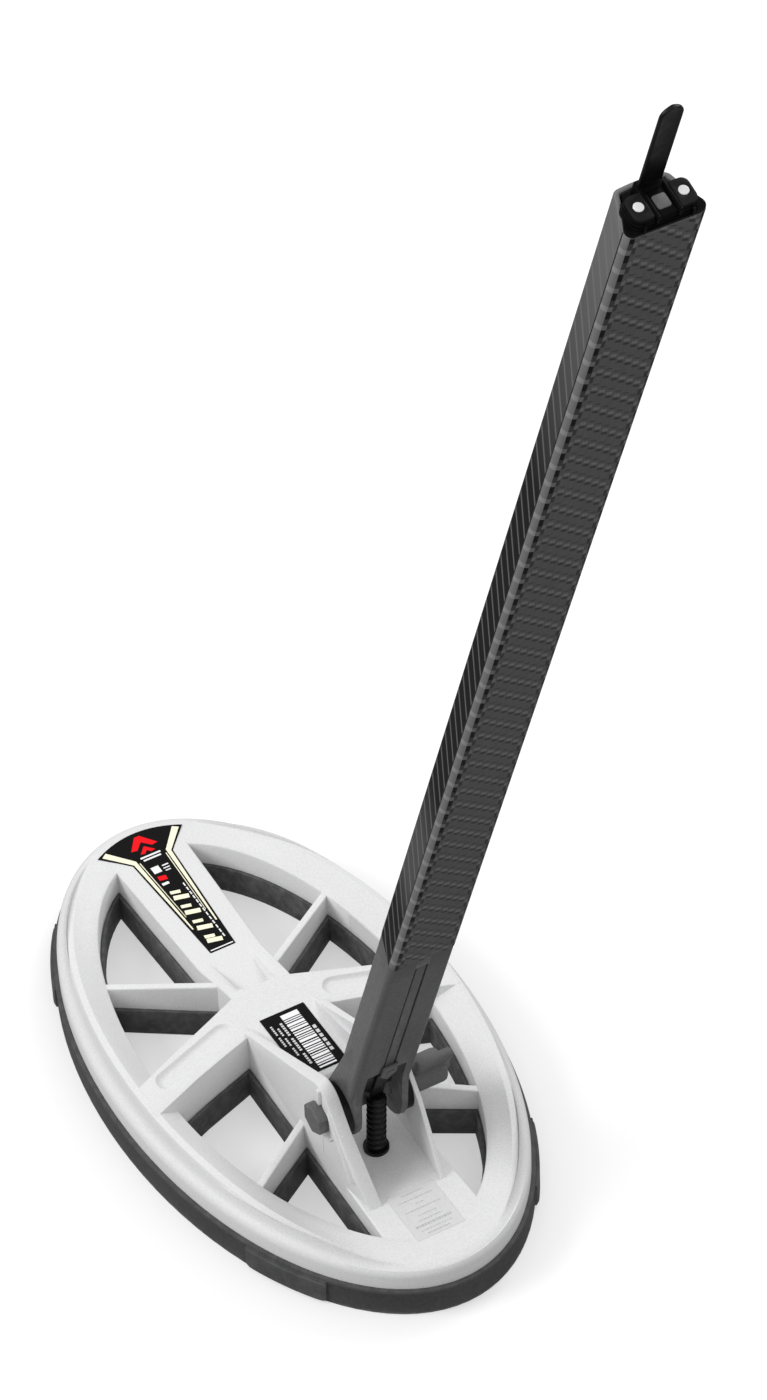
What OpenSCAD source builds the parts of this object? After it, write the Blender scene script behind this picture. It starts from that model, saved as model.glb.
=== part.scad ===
// Search coil of a metal detector, on the lower stem that carries it.
// Origin: centre of the elliptical coil on the plane that its skid cover stands on.
// +Y runs to the coil's front tip, +X to the operator's right, +Z up.
// The stem leans back over the coil's rear half and turns about the pivot bolt.

/* [Coil] */
// Length of the skid cover over its front and rear tips
coil_length = 240; // [225:1:260]
// Width of the skid cover
coil_width = 131.8; // [124:0.2:145]
// Width of the outer ring, from its outer wall to the openings
ring_width = 15.2; // [13.5:0.1:17]
// Height of the ring's ridge at the middle of the coil
ridge_height = 26; // [25:0.5:28]
// How much lower the ridge is at the front and rear tips
ridge_drop = 7; // [4:0.5:7.5]
// Height of the front spine and its badge
spine_height = 20; // [19:0.5:21]
// Height of the rear deck between the ears
deck_height = 18.2; // [17.5:0.1:19]
// Height of the hub that joins the arms
hub_height = 25.6; // [24.5:0.1:26]
// Thickness of the shell's walls
shell_wall = 2.2; // [1.8:0.1:2.6]
// Thickness of the thin diagonal spokes
spoke_thick = 2.6; // [2:0.2:4]

/* [Skid cover] */
// Height of the skid cover's walls
skid_height = 10.8; // [9:0.2:12]
// Thickness of the skid cover's walls
skid_wall = 1.2; // [1:0.1:1.3]
// Thickness of the skid cover's floor
skid_floor = 1.6; // [1.2:0.1:2]
// How far the four snap clips stand out of the skid cover
clip_depth = 0.9; // [0.5:0.1:1.2]

/* [Pivot] */
// Distance of the pivot axis behind the coil's centre
pivot_back = 55.6; // [54:0.2:58]
// Height of the pivot axis
pivot_height = 39.3; // [38.5:0.1:41]
// Distance between the inner faces of the two ears
ear_gap = 25.2; // [23:0.2:30]
// Radius of the pivot bolt's shank
bolt_r = 2.5; // [2.2:0.1:2.5]

/* [Stem] */
// Lean of the stem from upright, towards the coil's rear tip
stem_lean = 20.32; // [0:0.5:35]
// Distance from the pivot to the tube's lower end, along the stem
tube_start = 111; // [105:1:125]
// Distance from the pivot to the tube's upper end
tube_end = 514.5; // [480:0.5:560]
// Wall thickness of the tube
tube_wall = 1.5; // [1.2:0.1:1.8]

/* [Battery] */
// Length of the battery case inside the tube
case_length = 115; // [100:1:130]
// How far the battery cap stands out of the tube
cap_proud = 4.4; // [3:0.2:6]
// Free length of the pull strap above the tube's end
strap_length = 35.5; // [30:0.5:45]

/* [Hidden] */

big = 400;

// Coil plan: semi-axes of the skid cover, the shell and the openings' outer edge
skid_a = coil_length / 2;
skid_b = coil_width / 2;
shell_gap = 0.25;
shell_a = skid_a - skid_wall - shell_gap;
shell_b = skid_b - skid_wall - shell_gap;
hole_a = shell_a - ring_width - 1;
hole_b = shell_b - ring_width;
ellipse_sides = 96;

// Members of the spoked middle, at their top edges
spine_front_half = 14.4;
spine_hub_half = 11.4;
spine_hub_y = 18.6;
spine_tip_y = 108;
deck_front_half = 15.5;
deck_rear_half = 17.7;
deck_tip_y = -108;
arm_front = [[11.3, 18.6], [38.8, 7], [60, -2.5]];
arm_rear = [[60, -17], [36.4, -7.4], [15.5, -0.2]];
front_spoke = [[10, 28.9], [44.5, 52.7]];
rear_spoke = [[14, -38.6], [44, -57.2]];

// Heights inside the coil
plate_z = skid_floor + 0.2;
plate_thick = 1.6;
shell_z = plate_z + plate_thick;
cavity_top = 15.4;
hub_cavity_top = hub_height - shell_wall;
board_half = 8.6;
ridge_r = (shell_a * shell_a + ridge_drop * ridge_drop) / (2 * ridge_drop);

// Windings: two D-shaped loops whose straight runs pass each other under the spine
winding_width = 4;
winding_height = 3.4;
winding_a = shell_a - shell_wall - 2.2;
winding_b = shell_b - shell_wall - 1.6;
transmit_z = shell_z + 0.8;
receive_z = transmit_z + winding_height + 0.8;
winding_overlap = 6.6;

// Ears
ear_inner = ear_gap / 2;
ear_crown = [-54, 43.9];
ear_crown_r = 8;
ear_tail = [-84.9, 16.7];
ear_tail_inner = 10.9;
ear_outer_x = 17.3;
right_ear_outer = 14.4;
ear_trim = 0.9;
ear_foot = skid_height + 0.4;
bolt_clear = 0.05;
head_r = 5.8;
head_height = 4;

// Boot and cable: nearly upright behind the bolt
boot_foot = [0, -60.2, deck_height];
boot_lean = 4.4;
boot_length = 27.2;
boot_r = 3.4;
gland_r = 4.4;
cable_r = 1.5;

// Knob
washer_thick = 0.8;
knob_start = right_ear_outer + 0.1 + washer_thick + 0.05;
knob_length = 13.6;
knob_r = 6;
lobe_reach = 13.7;
lobe_thick = 4;
insert_r = 4;
bolt_end_x = knob_start + knob_length - 3;

// Stem section: rear corners, front corners and the crowned front face
rear_corner = [9.4, -3.2, 2.3];
front_corner = [6.1, 6.8, 2.4];
side_normal = 17.5;
crown_angle = 82;
crown_y = 9.5;

// Fork
fork_inset = 0.15;
fork_foot_r = 10;
body_low = 11;
cheek_outer = 10.2;
cheek_inner = 7.4;
window_top = 29.5;
pocket_half = 5.6;
plug_length = 30;
connector_low = 8.7;
groove_half = 1.9;
groove_depth = 0.9;
groove_low = 30;
groove_high = 106;
rubber_thick = ear_inner - cheek_outer - 0.1;

// Battery
battery_inset = tube_wall + 0.5;
case_wall = 1.2;
case_start = tube_end - 4 - case_length;
socket_start = case_start - 14;
socket_length = 9;
cap_top = tube_end + cap_proud;
contact_x = 6.5;
strap_half = 3.4;
strap_thick = 1.3;
strap_y = 5;
strap_hinge = [strap_y + strap_thick / 2, cap_top + 0.1 + strap_thick / 2];

// ---------------------------------------------------------------- outlines

// Points of an ellipse with semi-axes b across and a along
function ellipse(a, b, n = ellipse_sides) =
    [for (i = [0:n - 1]) [b * sin(360 * i / n), a * cos(360 * i / n)]];

// Points along an arc about a centre
function arc(centre, r, from, to, n) =
    [for (i = [0:n]) centre + r * [cos(from + (to - from) * i / n), sin(from + (to - from) * i / n)]];

// One D of a winding: the ellipse's part right of x = edge
function d_loop(a, b, edge, n = 60) =
    let (start = asin(edge / b))
    [for (i = [0:n]) let (t = start + (180 - 2 * start) * i / n) [b * sin(t), a * cos(t)]];

// Right half of the stem's section, then the left half mirrored
function half_section(inset) =
    let (back = arc([rear_corner.x, rear_corner.y], rear_corner.z - inset, -90, side_normal, 6),
        front = arc([front_corner.x, front_corner.y], front_corner.z - inset, side_normal, crown_angle, 5))
    concat(back, front, [[2.5, crown_y - inset - 0.05]]);
function stem_outline(inset = 0) =
    let (half = half_section(inset), n = len(half))
    concat(half, [for (i = [n - 1:-1:0]) [-half[i].x, half[i].y]]);

// Section for an inset deeper than the corners' radius
function inner_outline(inset) =
    let (x1 = rear_corner.x + rear_corner.z - inset, x2 = front_corner.x + front_corner.z - inset,
        y1 = rear_corner.y - rear_corner.z + inset, y2 = crown_y - inset)
    [[x1 - 1, y1], [x1, y1 + 1], [x1, y1 + 2], [x2, y2 - 1], [x2 - 1, y2],
        [1 - x2, y2], [-x2, y2 - 1], [-x1, y1 + 2], [-x1, y1 + 1], [1 - x1, y1]];

// ---------------------------------------------------------------- helpers

// The stem's own frame: z along the stem from the pivot, y towards its front face
module on_stem() {
    translate([0, -pivot_back, pivot_height]) rotate([stem_lean, 0, 0]) children();
}

// Draws its children on the right and mirrored on the left
module both_sides() {
    children();
    mirror([1, 0, 0]) children();
}

// A bar of the given width from one plan point to another
module plan_bar(from, to, width) {
    run = to - from;
    translate(from) rotate(atan2(run.y, run.x)) translate([0, -width / 2]) square([norm(run), width]);
}

// A profile in the y-z plane, drawn out along x between two faces
module across(x0, x1) {
    translate([x0, 0, 0]) rotate([90, 0, 90]) linear_extrude(x1 - x0) children();
}

// A cylinder along x between two faces, on the pivot axis
module on_pivot(x0, x1, r, sides = 64) {
    translate([x0, -pivot_back, pivot_height]) rotate([0, 90, 0]) cylinder(r = r, h = x1 - x0, $fn = sides);
}

// Plan of the ring, thicker by grow on each side of its wall
module ring_plan(outer, grow) {
    difference() {
        polygon(ellipse(shell_a + outer, shell_b + outer));
        polygon(ellipse(hole_a - grow, hole_b - grow));
    }
}

// Plan of the front spine and the rear deck
module spine_plan(grow) {
    tip = spine_front_half + grow;
    hub = spine_hub_half + grow;
    polygon([[tip, spine_tip_y], [hub, spine_hub_y], [hub, 0],
        [-hub, 0], [-hub, spine_hub_y], [-tip, spine_tip_y]]);
    polygon([[deck_front_half + grow, 6], [deck_rear_half + grow, deck_tip_y],
        [-deck_rear_half - grow, deck_tip_y], [-deck_front_half - grow, 6]]);
}

// Plan of the two swept arms
module arm_plan(grow) {
    lift = [0, grow];
    right = concat([[0, 18.6 + grow]], [for (p = arm_front) p + lift], [for (p = arm_rear) p - lift],
        [[0, -0.2 - grow]]);
    both_sides() polygon(right);
}

// Plan of the four thin spokes, which are too thin to be hollow
module spoke_plan(grow) {
    width = spoke_thick + 2 * grow;
    if (width > 0) both_sides() {
        plan_bar(front_spoke[0], front_spoke[1], width);
        plan_bar(rear_spoke[0], rear_spoke[1], width);
    }
}

// Everything between the openings, held inside the outer ellipse
module coil_plan(outer, grow) {
    ring_plan(outer, grow);
    intersection() {
        polygon(ellipse(shell_a - 3, shell_b - 3));
        union() {
            spine_plan(grow);
            arm_plan(grow);
            spoke_plan(grow);
        }
    }
}

// ---------------------------------------------------------------- coil shell

// Envelope that rounds the ring's outer edge
module rim_form() {
    hull() {
        for (step = [[shell_z, 0], [16.5, 0], [19, 1], [21, 2.8], [ridge_height + 1, 9.4]])
            translate([0, 0, step[0]]) linear_extrude(0.4)
                polygon(ellipse(shell_a - step[1], shell_b - step[1], 72));
    }
}

// Funnel that bevels the ring's inner edge down to the openings
module inner_bevel() {
    hull() {
        translate([0, 0, 19.2]) linear_extrude(0.4) polygon(ellipse(hole_a - 1, hole_b - 1, 72));
        translate([0, 0, ridge_height + 1]) linear_extrude(0.4) polygon(ellipse(hole_a + 2, hole_b + 8.6, 72));
    }
}

// Crown that lowers the ridge towards the tips
module crown_form() {
    translate([-big / 2, 0, ridge_height - ridge_r]) rotate([0, 90, 0])
        cylinder(r = ridge_r, h = big, $fn = 720);
}

module ring_body() {
    difference() {
        intersection() {
            translate([0, 0, shell_z]) linear_extrude(ridge_height) ring_plan(0, 0);
            rim_form();
            crown_form();
        }
        inner_bevel();
    }
}

// Spine, ramp up to the hub, hub, platform and rear deck, as one profile drawn across the coil
module middle_profile() {
    polygon([[spine_tip_y, shell_z], [spine_tip_y, 19], [96, spine_height], [41, spine_height],
        [19, hub_height], [-27, hub_height], [-36, deck_height], [-96, deck_height], [deck_tip_y, deck_height - 0.6],
        [deck_tip_y, shell_z]]);
}

// Scoop in the ramp, between its two flanks
module spine_scoop() {
    translate([0, 0, spine_height]) linear_extrude(big)
        polygon(concat([[-8.2, 50], [-7.2, 21.5]], arc([0, 38], 18, 247, 293, 8), [[7.2, 21.5], [8.2, 50]]));
}

// Shallow long pocket along an arm's top
module arm_pocket() {
    translate([0, 0, hub_height - 1.2]) linear_extrude(5) {
        plan_bar([22, 5.6], [45, -2.6], 6);
        translate([22, 5.6]) circle(r = 3, $fn = 32);
        translate([45, -2.6]) circle(r = 3, $fn = 32);
    }
}

module arm_profile() {
    polygon([[-60, shell_z], [-60, 25.2], [0, hub_height], [60, 25.2], [60, shell_z]]);
}

// Side view of an ear, from the hub over the pivot to its foot on the rear deck
module ear_profile() {
    crown = arc(ear_crown, ear_crown_r, 63.6, 142.6, 12);
    polygon(concat([[0, 10], [0, 26]], crown, [ear_tail, [ear_tail.x, 10]]));
}

// One ear, out to a flat face round the pivot; both ears lean inwards towards their tails
module ear(outer) {
    difference() {
        intersection() {
            translate([0, 0, ear_foot]) linear_extrude(60)
                polygon([[ear_inner, 0], [deck_front_half, 0], [outer, -44], [outer, -67],
                    [outer - 1.6, ear_tail.x], [ear_tail_inner, ear_tail.x], [ear_inner, -67]]);
            across(10, 20) ear_profile();
        }
        on_pivot(10, 20, bolt_r + bolt_clear);
    }
}

// A rib on the outer face of the left ear, behind the bolt's head
module ear_rib() {
    across(ear_outer_x - 1.4, ear_outer_x + ear_trim)
        polygon([[-61.2, 45.2], [-63, 43.6], [-75, 23.5], [-68, 29]]);
}

// A small fin over the bolt's head, on the same face
module ear_fin() {
    across(ear_outer_x - 1.4, ear_outer_x + ear_trim)
        polygon([[-54.8, 45.4], [-56.2, 45.4], [-56.2, 50.6], [-54.8, 51.2]]);
}

module shell_cavity() {
    translate([0, 0, shell_z - 0.01]) linear_extrude(cavity_top - shell_z + 0.01)
        coil_plan(-shell_wall, -shell_wall);
    translate([0, 0, cavity_top - 1]) linear_extrude(hub_cavity_top - cavity_top + 1)
        translate([-board_half - 0.3, -24]) square([2 * board_half + 0.6, 40]);
}

module coil_top_shell() {
    color([0.88, 0.88, 0.89]) difference() {
        union() {
            ring_body();
            intersection() {
                translate([0, 0, shell_z]) linear_extrude(40) intersection() {
                    polygon(ellipse(shell_a - 2, shell_b - 2));
                    spine_plan(0);
                }
                across(-20, 20) middle_profile();
            }
            intersection() {
                translate([0, 0, shell_z]) linear_extrude(40) intersection() {
                    polygon(ellipse(shell_a - 5, shell_b - 5));
                    arm_plan(0);
                }
                translate([0, 30, 0]) rotate([90, 0, 0]) linear_extrude(60) arm_profile();
            }
            intersection() {
                translate([0, 0, shell_z]) linear_extrude(40) spoke_plan(0);
                translate([0, 80, 0]) rotate([90, 0, 0]) linear_extrude(160)
                    polygon([[-46, shell_z], [-46, 19], [-11, 22.6], [11, 22.6], [46, 19], [46, shell_z]]);
                linear_extrude(40) polygon(ellipse(shell_a - 8, shell_b - 8));
            }
            ear(right_ear_outer);
            mirror([1, 0, 0]) {
                ear(ear_outer_x);
                ear_rib();
                ear_fin();
            }
        }
        shell_cavity();
        spine_scoop();
        both_sides() arm_pocket();
        translate([0, boot_foot.y, 0]) cylinder(r = 4.2, h = 30, $fn = 48);
    }
}

// Flat plate that closes the shell's underside
module coil_bottom_plate() {
    color([0.3, 0.3, 0.31]) translate([0, 0, plate_z]) {
        linear_extrude(plate_thick) ring_plan(0, 0);
        intersection() {
            linear_extrude(plate_thick) polygon(ellipse(shell_a - 3, shell_b - 3));
            union() {
                linear_extrude(plate_thick) spine_plan(0);
                linear_extrude(plate_thick) arm_plan(0);
                linear_extrude(plate_thick) spoke_plan(0);
            }
        }
    }
}

// Wear shoe: a floor, a skirt round the outside and walls up through the openings
module skid_cover() {
    color([0.28, 0.28, 0.29]) {
        linear_extrude(skid_floor) coil_plan(shell_gap + skid_wall, shell_gap + skid_wall);
        linear_extrude(skid_height) difference() {
            coil_plan(shell_gap + skid_wall, shell_gap + skid_wall);
            coil_plan(shell_gap, shell_gap);
        }
        for (quarter = [[1, 1], [1, -1], [-1, 1], [-1, -1]]) skid_clip(quarter);
    }
}

// A snap clip: a raised tab along the skirt
module skid_clip(quarter) {
    inner = [for (t = [37:3:55]) [(skid_b - 0.6) * sin(t), (skid_a - 0.6) * cos(t)]];
    outer = [for (t = [55:-3:37]) [(skid_b + clip_depth) * sin(t), (skid_a + clip_depth) * cos(t)]];
    translate([0, 0, 1.2]) linear_extrude(skid_height - 2)
        polygon([for (p = concat(inner, outer)) [p.x * quarter[0], p.y * quarter[1]]]);
}

// ---------------------------------------------------------------- inside the coil

// One winding, a D-shaped loop of copper; side is 1 for the right half, -1 for the left
module winding(side, z) {
    color([0.72, 0.38, 0.16]) translate([0, 0, z]) linear_extrude(winding_height)
        scale([side, 1]) difference() {
            polygon(d_loop(winding_a, winding_b, -winding_overlap));
            polygon(d_loop(winding_a - winding_width, winding_b - winding_width,
                winding_width - winding_overlap));
        }
}

module transmit_winding() {
    winding(1, transmit_z);
}

module receive_winding() {
    winding(-1, receive_z);
}

module coil_circuit_board() {
    color([0.1, 0.35, 0.2]) translate([0, -4, 16]) difference() {
        translate([-board_half, -19, 0]) cube([2 * board_half, 38, 1.6]);
        for (x = [-6.5, 6.5], y = [-16.5, 16.5]) translate([x, y, -1]) cylinder(r = 1.1, h = 4, $fn = 24);
    }
}

// Radio module, processor, capacitors and a quartz
module board_components() {
    color([0.15, 0.15, 0.16]) translate([0, -4, 17.6]) {
        translate([-5, 4, 0]) cube([10, 9, 2.4]);
        translate([-5.5, -6, 0]) cube([7, 7, 1.2]);
        translate([3.4, -5, 0]) cube([3, 5, 1.6]);
        for (y = [-12, -9]) translate([4.4, y, 0]) cylinder(r = 1.2, h = 3, $fn = 24);
        translate([-4.5, -13, 0]) cube([4, 4, 1.8]);
    }
}

// Gland through the deck, with the boot's round flange on top
module cable_gland() {
    color([0.05, 0.05, 0.05]) translate([0, boot_foot.y, 0]) difference() {
        union() {
            translate([0, 0, cavity_top - 1.6]) cylinder(r = 5.4, h = 1.6, $fn = 48);
            translate([0, 0, cavity_top - 0.5]) cylinder(r = 4.15, h = 3.4, $fn = 48);
            translate([0, 0, deck_height]) cylinder(r = gland_r, h = 1.4, $fn = 48);
        }
        cylinder(r = cable_r + 0.1, h = 40, $fn = 32);
    }
}

// Bellows that lets the cable follow the stem
module cable_boot() {
    ribs = 9;
    step = (boot_length - 1.6) / ribs;
    low_r = boot_r - 0.7;
    outer = [for (i = [0:ribs - 1], p = [[low_r, 0.1], [boot_r, 0.35], [boot_r, 0.75], [low_r, 1]])
        [p[0], 1.6 + step * (i + p[1])]];
    color([0.05, 0.05, 0.05]) translate(boot_foot) rotate([boot_lean, 0, 0])
        rotate_extrude($fn = 40)
            polygon(concat([[cable_r + 0.1, 1.6], [low_r, 1.6]], outer, [[cable_r + 0.1, boot_length]]));
}

// Cable from under the circuit board, through the gland and the boot, to the connector
module coil_cable() {
    low = 12;
    color([0.08, 0.08, 0.08]) {
        translate([0, -20, low]) cylinder(r = cable_r, h = 4, $fn = 24);
        translate([0, -20, low]) sphere(r = cable_r + 0.08, $fn = 24);
        translate([0, -20, low]) rotate([90, 0, 0]) cylinder(r = cable_r, h = -boot_foot.y - 20, $fn = 24);
        translate([0, boot_foot.y, low]) sphere(r = cable_r + 0.08, $fn = 24);
        translate([0, boot_foot.y, low]) cylinder(r = cable_r, h = boot_foot.z - low, $fn = 24);
        translate(boot_foot) sphere(r = cable_r + 0.08, $fn = 24);
        translate(boot_foot) rotate([boot_lean, 0, 0]) cylinder(r = cable_r, h = boot_length + 0.2, $fn = 24);
    }
}

// ---------------------------------------------------------------- labels

label_thick = 0.25;

// Badge on the spine, flared to an arc at the front tip
module front_badge() {
    color([0.03, 0.03, 0.03]) translate([0, 0, spine_height]) linear_extrude(label_thick)
        polygon([[-4.9, 45], [4.9, 45], [7.9, 92], [8.4, 95.6], [-8.4, 95.6], [-7.9, 92]]);
}

module barcode_label() {
    color([0.03, 0.03, 0.03]) translate([-8.3, -24, hub_height]) cube([16.6, 28, label_thick]);
}

module rating_label() {
    color([0.78, 0.78, 0.79]) translate([-8.7, -95.5, deck_height]) cube([17.4, 14, label_thick]);
}

// ---------------------------------------------------------------- pivot

// Bolt with a hex head at the left ear and a threaded end in the knob
module pivot_bolt() {
    color([0.33, 0.33, 0.34]) {
        on_pivot(-ear_outer_x - head_height + 0.2, -ear_outer_x, head_r, 6);
        on_pivot(-ear_outer_x - 0.1, bolt_end_x, bolt_r);
    }
}

module knob_washer() {
    color([0.6, 0.6, 0.62]) difference() {
        on_pivot(right_ear_outer + 0.1, right_ear_outer + 0.1 + washer_thick, 6.2);
        on_pivot(0, 40, bolt_r + bolt_clear);
    }
}

// Threaded brass insert, pressed into the knob
module knob_insert() {
    color([0.75, 0.6, 0.3]) difference() {
        on_pivot(knob_start, knob_start + 9, insert_r);
        on_pivot(0, 60, bolt_r + bolt_clear);
    }
}

// Knob with two long wings and a small end cap
module wing_knob() {
    color([0.35, 0.35, 0.36]) difference() {
        union() {
            on_pivot(knob_start, knob_start + knob_length - 1, knob_r);
            on_pivot(knob_start + knob_length - 2, knob_start + knob_length + 1.3, 2.6);
            for (turn = [120, 300]) knob_lobe(turn);
        }
        on_pivot(knob_start - 1, knob_start + 9, insert_r);
        on_pivot(knob_start, bolt_end_x + 0.5, bolt_r + bolt_clear + 0.3);
    }
}

module knob_lobe(turn) {
    tip_x = knob_start + knob_length + 0.1;
    translate([0, -pivot_back, pivot_height]) rotate([turn, 0, 0]) {
        translate([knob_start + 0.3, 0, -lobe_thick / 2])
            cube([tip_x - knob_start - 0.3, lobe_reach - lobe_thick / 2, lobe_thick]);
        translate([knob_start + 0.3, lobe_reach - lobe_thick / 2, 0]) rotate([0, 90, 0])
            cylinder(r = lobe_thick / 2, h = tip_x - knob_start - 0.3, $fn = 32);
    }
}

// Rubber washer between the stem's cheek and the ear
module rubber_washer() {
    color([0.04, 0.04, 0.04]) difference() {
        on_pivot(cheek_outer, cheek_outer + rubber_thick, fork_foot_r - 0.6);
        on_pivot(0, 40, bolt_r + bolt_clear + 0.3);
    }
}

module washer_right() {
    rubber_washer();
}

module washer_left() {
    mirror([1, 0, 0]) rubber_washer();
}

// ---------------------------------------------------------------- stem

// Foot of the stem: a plug in the tube, a body of the tube's section and two cheeks round the pivot
module stem_fork() {
    color([0.29, 0.29, 0.3]) difference() {
        union() {
            on_stem() {
                translate([0, 0, tube_start - 1]) linear_extrude(plug_length)
                    polygon(stem_outline(tube_wall + 0.1));
                translate([0, 0, body_low]) linear_extrude(tube_start - body_low)
                    polygon(stem_outline(fork_inset));
            }
            both_sides() cheek();
        }
        on_stem() {
            translate([-pocket_half, -3.7, window_top - 1])
                cube([2 * pocket_half, 9.2, tube_start + plug_length]);
            translate([-cheek_inner, -20, -20]) cube([2 * cheek_inner, 25.3, 20 + window_top]);
            translate([-groove_half, -8, groove_low - 1]) cube([2 * groove_half, 8 - 5.35 + groove_depth,
                groove_high - groove_low + 1]);
        }
        on_pivot(-20, 20, bolt_r + bolt_clear);
    }
}

// One cheek: a disc round the pivot and a leg up to the body
module cheek() {
    on_pivot(cheek_inner + 0.2, cheek_outer, fork_foot_r);
    on_stem() translate([cheek_inner + 0.5, -4.6, 0])
        cube([cheek_outer - cheek_inner - 1.1, 12.2, 45]);
}

// Strip that closes the cable groove, with its latch tab over the window
module channel_strip() {
    color([0.31, 0.31, 0.32]) on_stem() {
        translate([0.1 - groove_half, -5.25, groove_low])
            cube([2 * groove_half - 0.2, groove_depth - 0.25, groove_high - groove_low - 0.2]);
        translate([-groove_half + 0.1, -6, groove_low]) cube([2 * groove_half - 0.2, 1.2, 4]);
        translate([0, -5.5, 0]) rotate([90, 0, 0]) linear_extrude(1)
            polygon([[-2.9, 34.5], [-3.1, 28.6], [0, 24.6], [3.1, 28.6], [2.9, 34.5]]);
    }
}

// Connector block in the fork's pocket; the boot ends on it
module cable_connector() {
    color([0.06, 0.06, 0.06]) on_stem() difference() {
        union() {
            translate([-pocket_half + 0.2, -5.2, connector_low]) cube([2 * pocket_half - 0.4, 10.3, 19.4]);
            translate([-pocket_half + 0.2, -3.5, connector_low + 19]) cube([2 * pocket_half - 0.4, 8.6, 14]);
        }
        translate([0, 0, 38]) cylinder(r = cable_r + 0.1, h = 8, $fn = 32);
    }
}

// Supply cable up the tube from the connector to the battery socket
module supply_cable() {
    color([0.08, 0.08, 0.08]) on_stem() translate([0, 0, 38])
        cylinder(r = cable_r, h = socket_start - 36, $fn = 24);
}

module carbon_tube() {
    color([0.2, 0.2, 0.21]) on_stem() translate([0, 0, tube_start]) linear_extrude(tube_end - tube_start)
        difference() {
            polygon(stem_outline());
            polygon(stem_outline(tube_wall));
        }
}

// Block that carries the spring pins which the battery meets
module battery_socket() {
    color([0.1, 0.1, 0.1]) on_stem() difference() {
        translate([0, 0, socket_start]) linear_extrude(socket_length) polygon(stem_outline(tube_wall + 0.05));
        translate([0, 0, socket_start - 1]) cylinder(r = cable_r + 0.1, h = 4, $fn = 32);
        for (x = [-contact_x, contact_x]) translate([x, 0, socket_start + 3])
            cylinder(r = 1.2, h = 20, $fn = 24);
    }
}

module socket_pins() {
    color([0.85, 0.7, 0.35]) on_stem() for (x = [-contact_x, contact_x]) {
        translate([x, 0, socket_start + 3]) cylinder(r = 1.2, h = socket_length - 3, $fn = 24);
        translate([x, 0, socket_start + socket_length]) cylinder(r = 0.8, h = 4.9, $fn = 24);
    }
}

// ---------------------------------------------------------------- battery

module battery_case() {
    color([0.12, 0.12, 0.12]) on_stem() translate([0, 0, case_start]) difference() {
        linear_extrude(case_length) polygon(stem_outline(battery_inset));
        translate([0, 0, case_wall]) linear_extrude(case_length)
            polygon(inner_outline(battery_inset + case_wall));
    }
}

module battery_cell() {
    color([0.75, 0.76, 0.78]) on_stem() translate([-5.2, -1.6, case_start + 4]) cube([10.4, 6.4, 72]);
}

module battery_board() {
    color([0.1, 0.35, 0.2]) on_stem() translate([-5.2, -1, case_start + 79]) cube([10.4, 1.2, 30]);
}

// Cap that closes the case and stands out of the tube's mouth
module battery_cap() {
    color([0.04, 0.04, 0.04]) on_stem() difference() {
        union() {
            translate([0, 0, case_start + case_length])
                linear_extrude(tube_end - case_start - case_length + 0.8)
                polygon(stem_outline(battery_inset));
            translate([-9.4, -4.2, tube_end]) cube([18.8, 8.2, cap_proud]);
            translate([-strap_half - 0.6, strap_y - 1, tube_end]) cube([2 * strap_half + 1.2, 2.6, cap_proud]);
        }
        translate([-2.6, -10, cap_top - 1.2]) cube([5.2, 13.5, 5]);
        for (x = [-contact_x, contact_x]) translate([x, 0, cap_top - 2]) cylinder(r = 1.5, h = 9, $fn = 32);
        translate([0, 0, case_start + case_length + 1]) difference() {
            linear_extrude(1.6) polygon(stem_outline(battery_inset - 1));
            translate([0, 0, -1]) linear_extrude(4) polygon(stem_outline(battery_inset + 0.25));
        }
    }
}

module cap_inlay() {
    color([0.4, 0.4, 0.41]) on_stem() translate([-2.4, -2.6, cap_top - 1.2]) cube([4.8, 5, 1.3]);
}

module charge_contacts() {
    color([0.9, 0.9, 0.9]) on_stem() for (x = [-contact_x, contact_x])
        translate([x, 0, cap_top - 2]) cylinder(r = 1.5, h = 2.2, $fn = 32);
}

// Seal in the groove round the cap
module cap_seal() {
    color([0.02, 0.02, 0.02]) on_stem() translate([0, 0, case_start + case_length + 1.05]) linear_extrude(1.5)
        difference() {
            polygon(stem_outline(tube_wall + 0.12));
            polygon(stem_outline(battery_inset + 0.25));
        }
}

// Flat strap that pulls the battery out, with a round root on its bend line and a rounded tip
module pull_strap() {
    top = tube_end + strap_length;
    color([0.05, 0.05, 0.05]) on_stem() {
        translate([-strap_half, strap_hinge.x, strap_hinge.y]) rotate([0, 90, 0])
            cylinder(r = strap_thick / 2, h = 2 * strap_half, $fn = 24);
        translate([-strap_half, strap_y, strap_hinge.y])
            cube([2 * strap_half, strap_thick, top - strap_hinge.y - strap_half]);
        translate([0, strap_y, top - strap_half]) rotate([-90, 0, 0])
            cylinder(r = strap_half, h = strap_thick, $fn = 48);
    }
}

// ---------------------------------------------------------------- nodes

coil_top_shell();
coil_bottom_plate();
skid_cover();
transmit_winding();
receive_winding();
coil_circuit_board();
board_components();
cable_gland();
cable_boot();
coil_cable();
front_badge();
barcode_label();
rating_label();
pivot_bolt();
wing_knob();
knob_insert();
knob_washer();
washer_left();
washer_right();
stem_fork();
channel_strip();
cable_connector();
supply_cable();
carbon_tube();
battery_socket();
socket_pins();
battery_case();
battery_cell();
battery_board();
battery_cap();
cap_inlay();
charge_contacts();
cap_seal();
pull_strap();
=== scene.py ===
from math import atan2, copysign, cos, degrees, dist, pi, radians, sin, sqrt

import bmesh
import bpy
import numpy as np
from mathutils import Euler, Matrix, Vector


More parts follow.
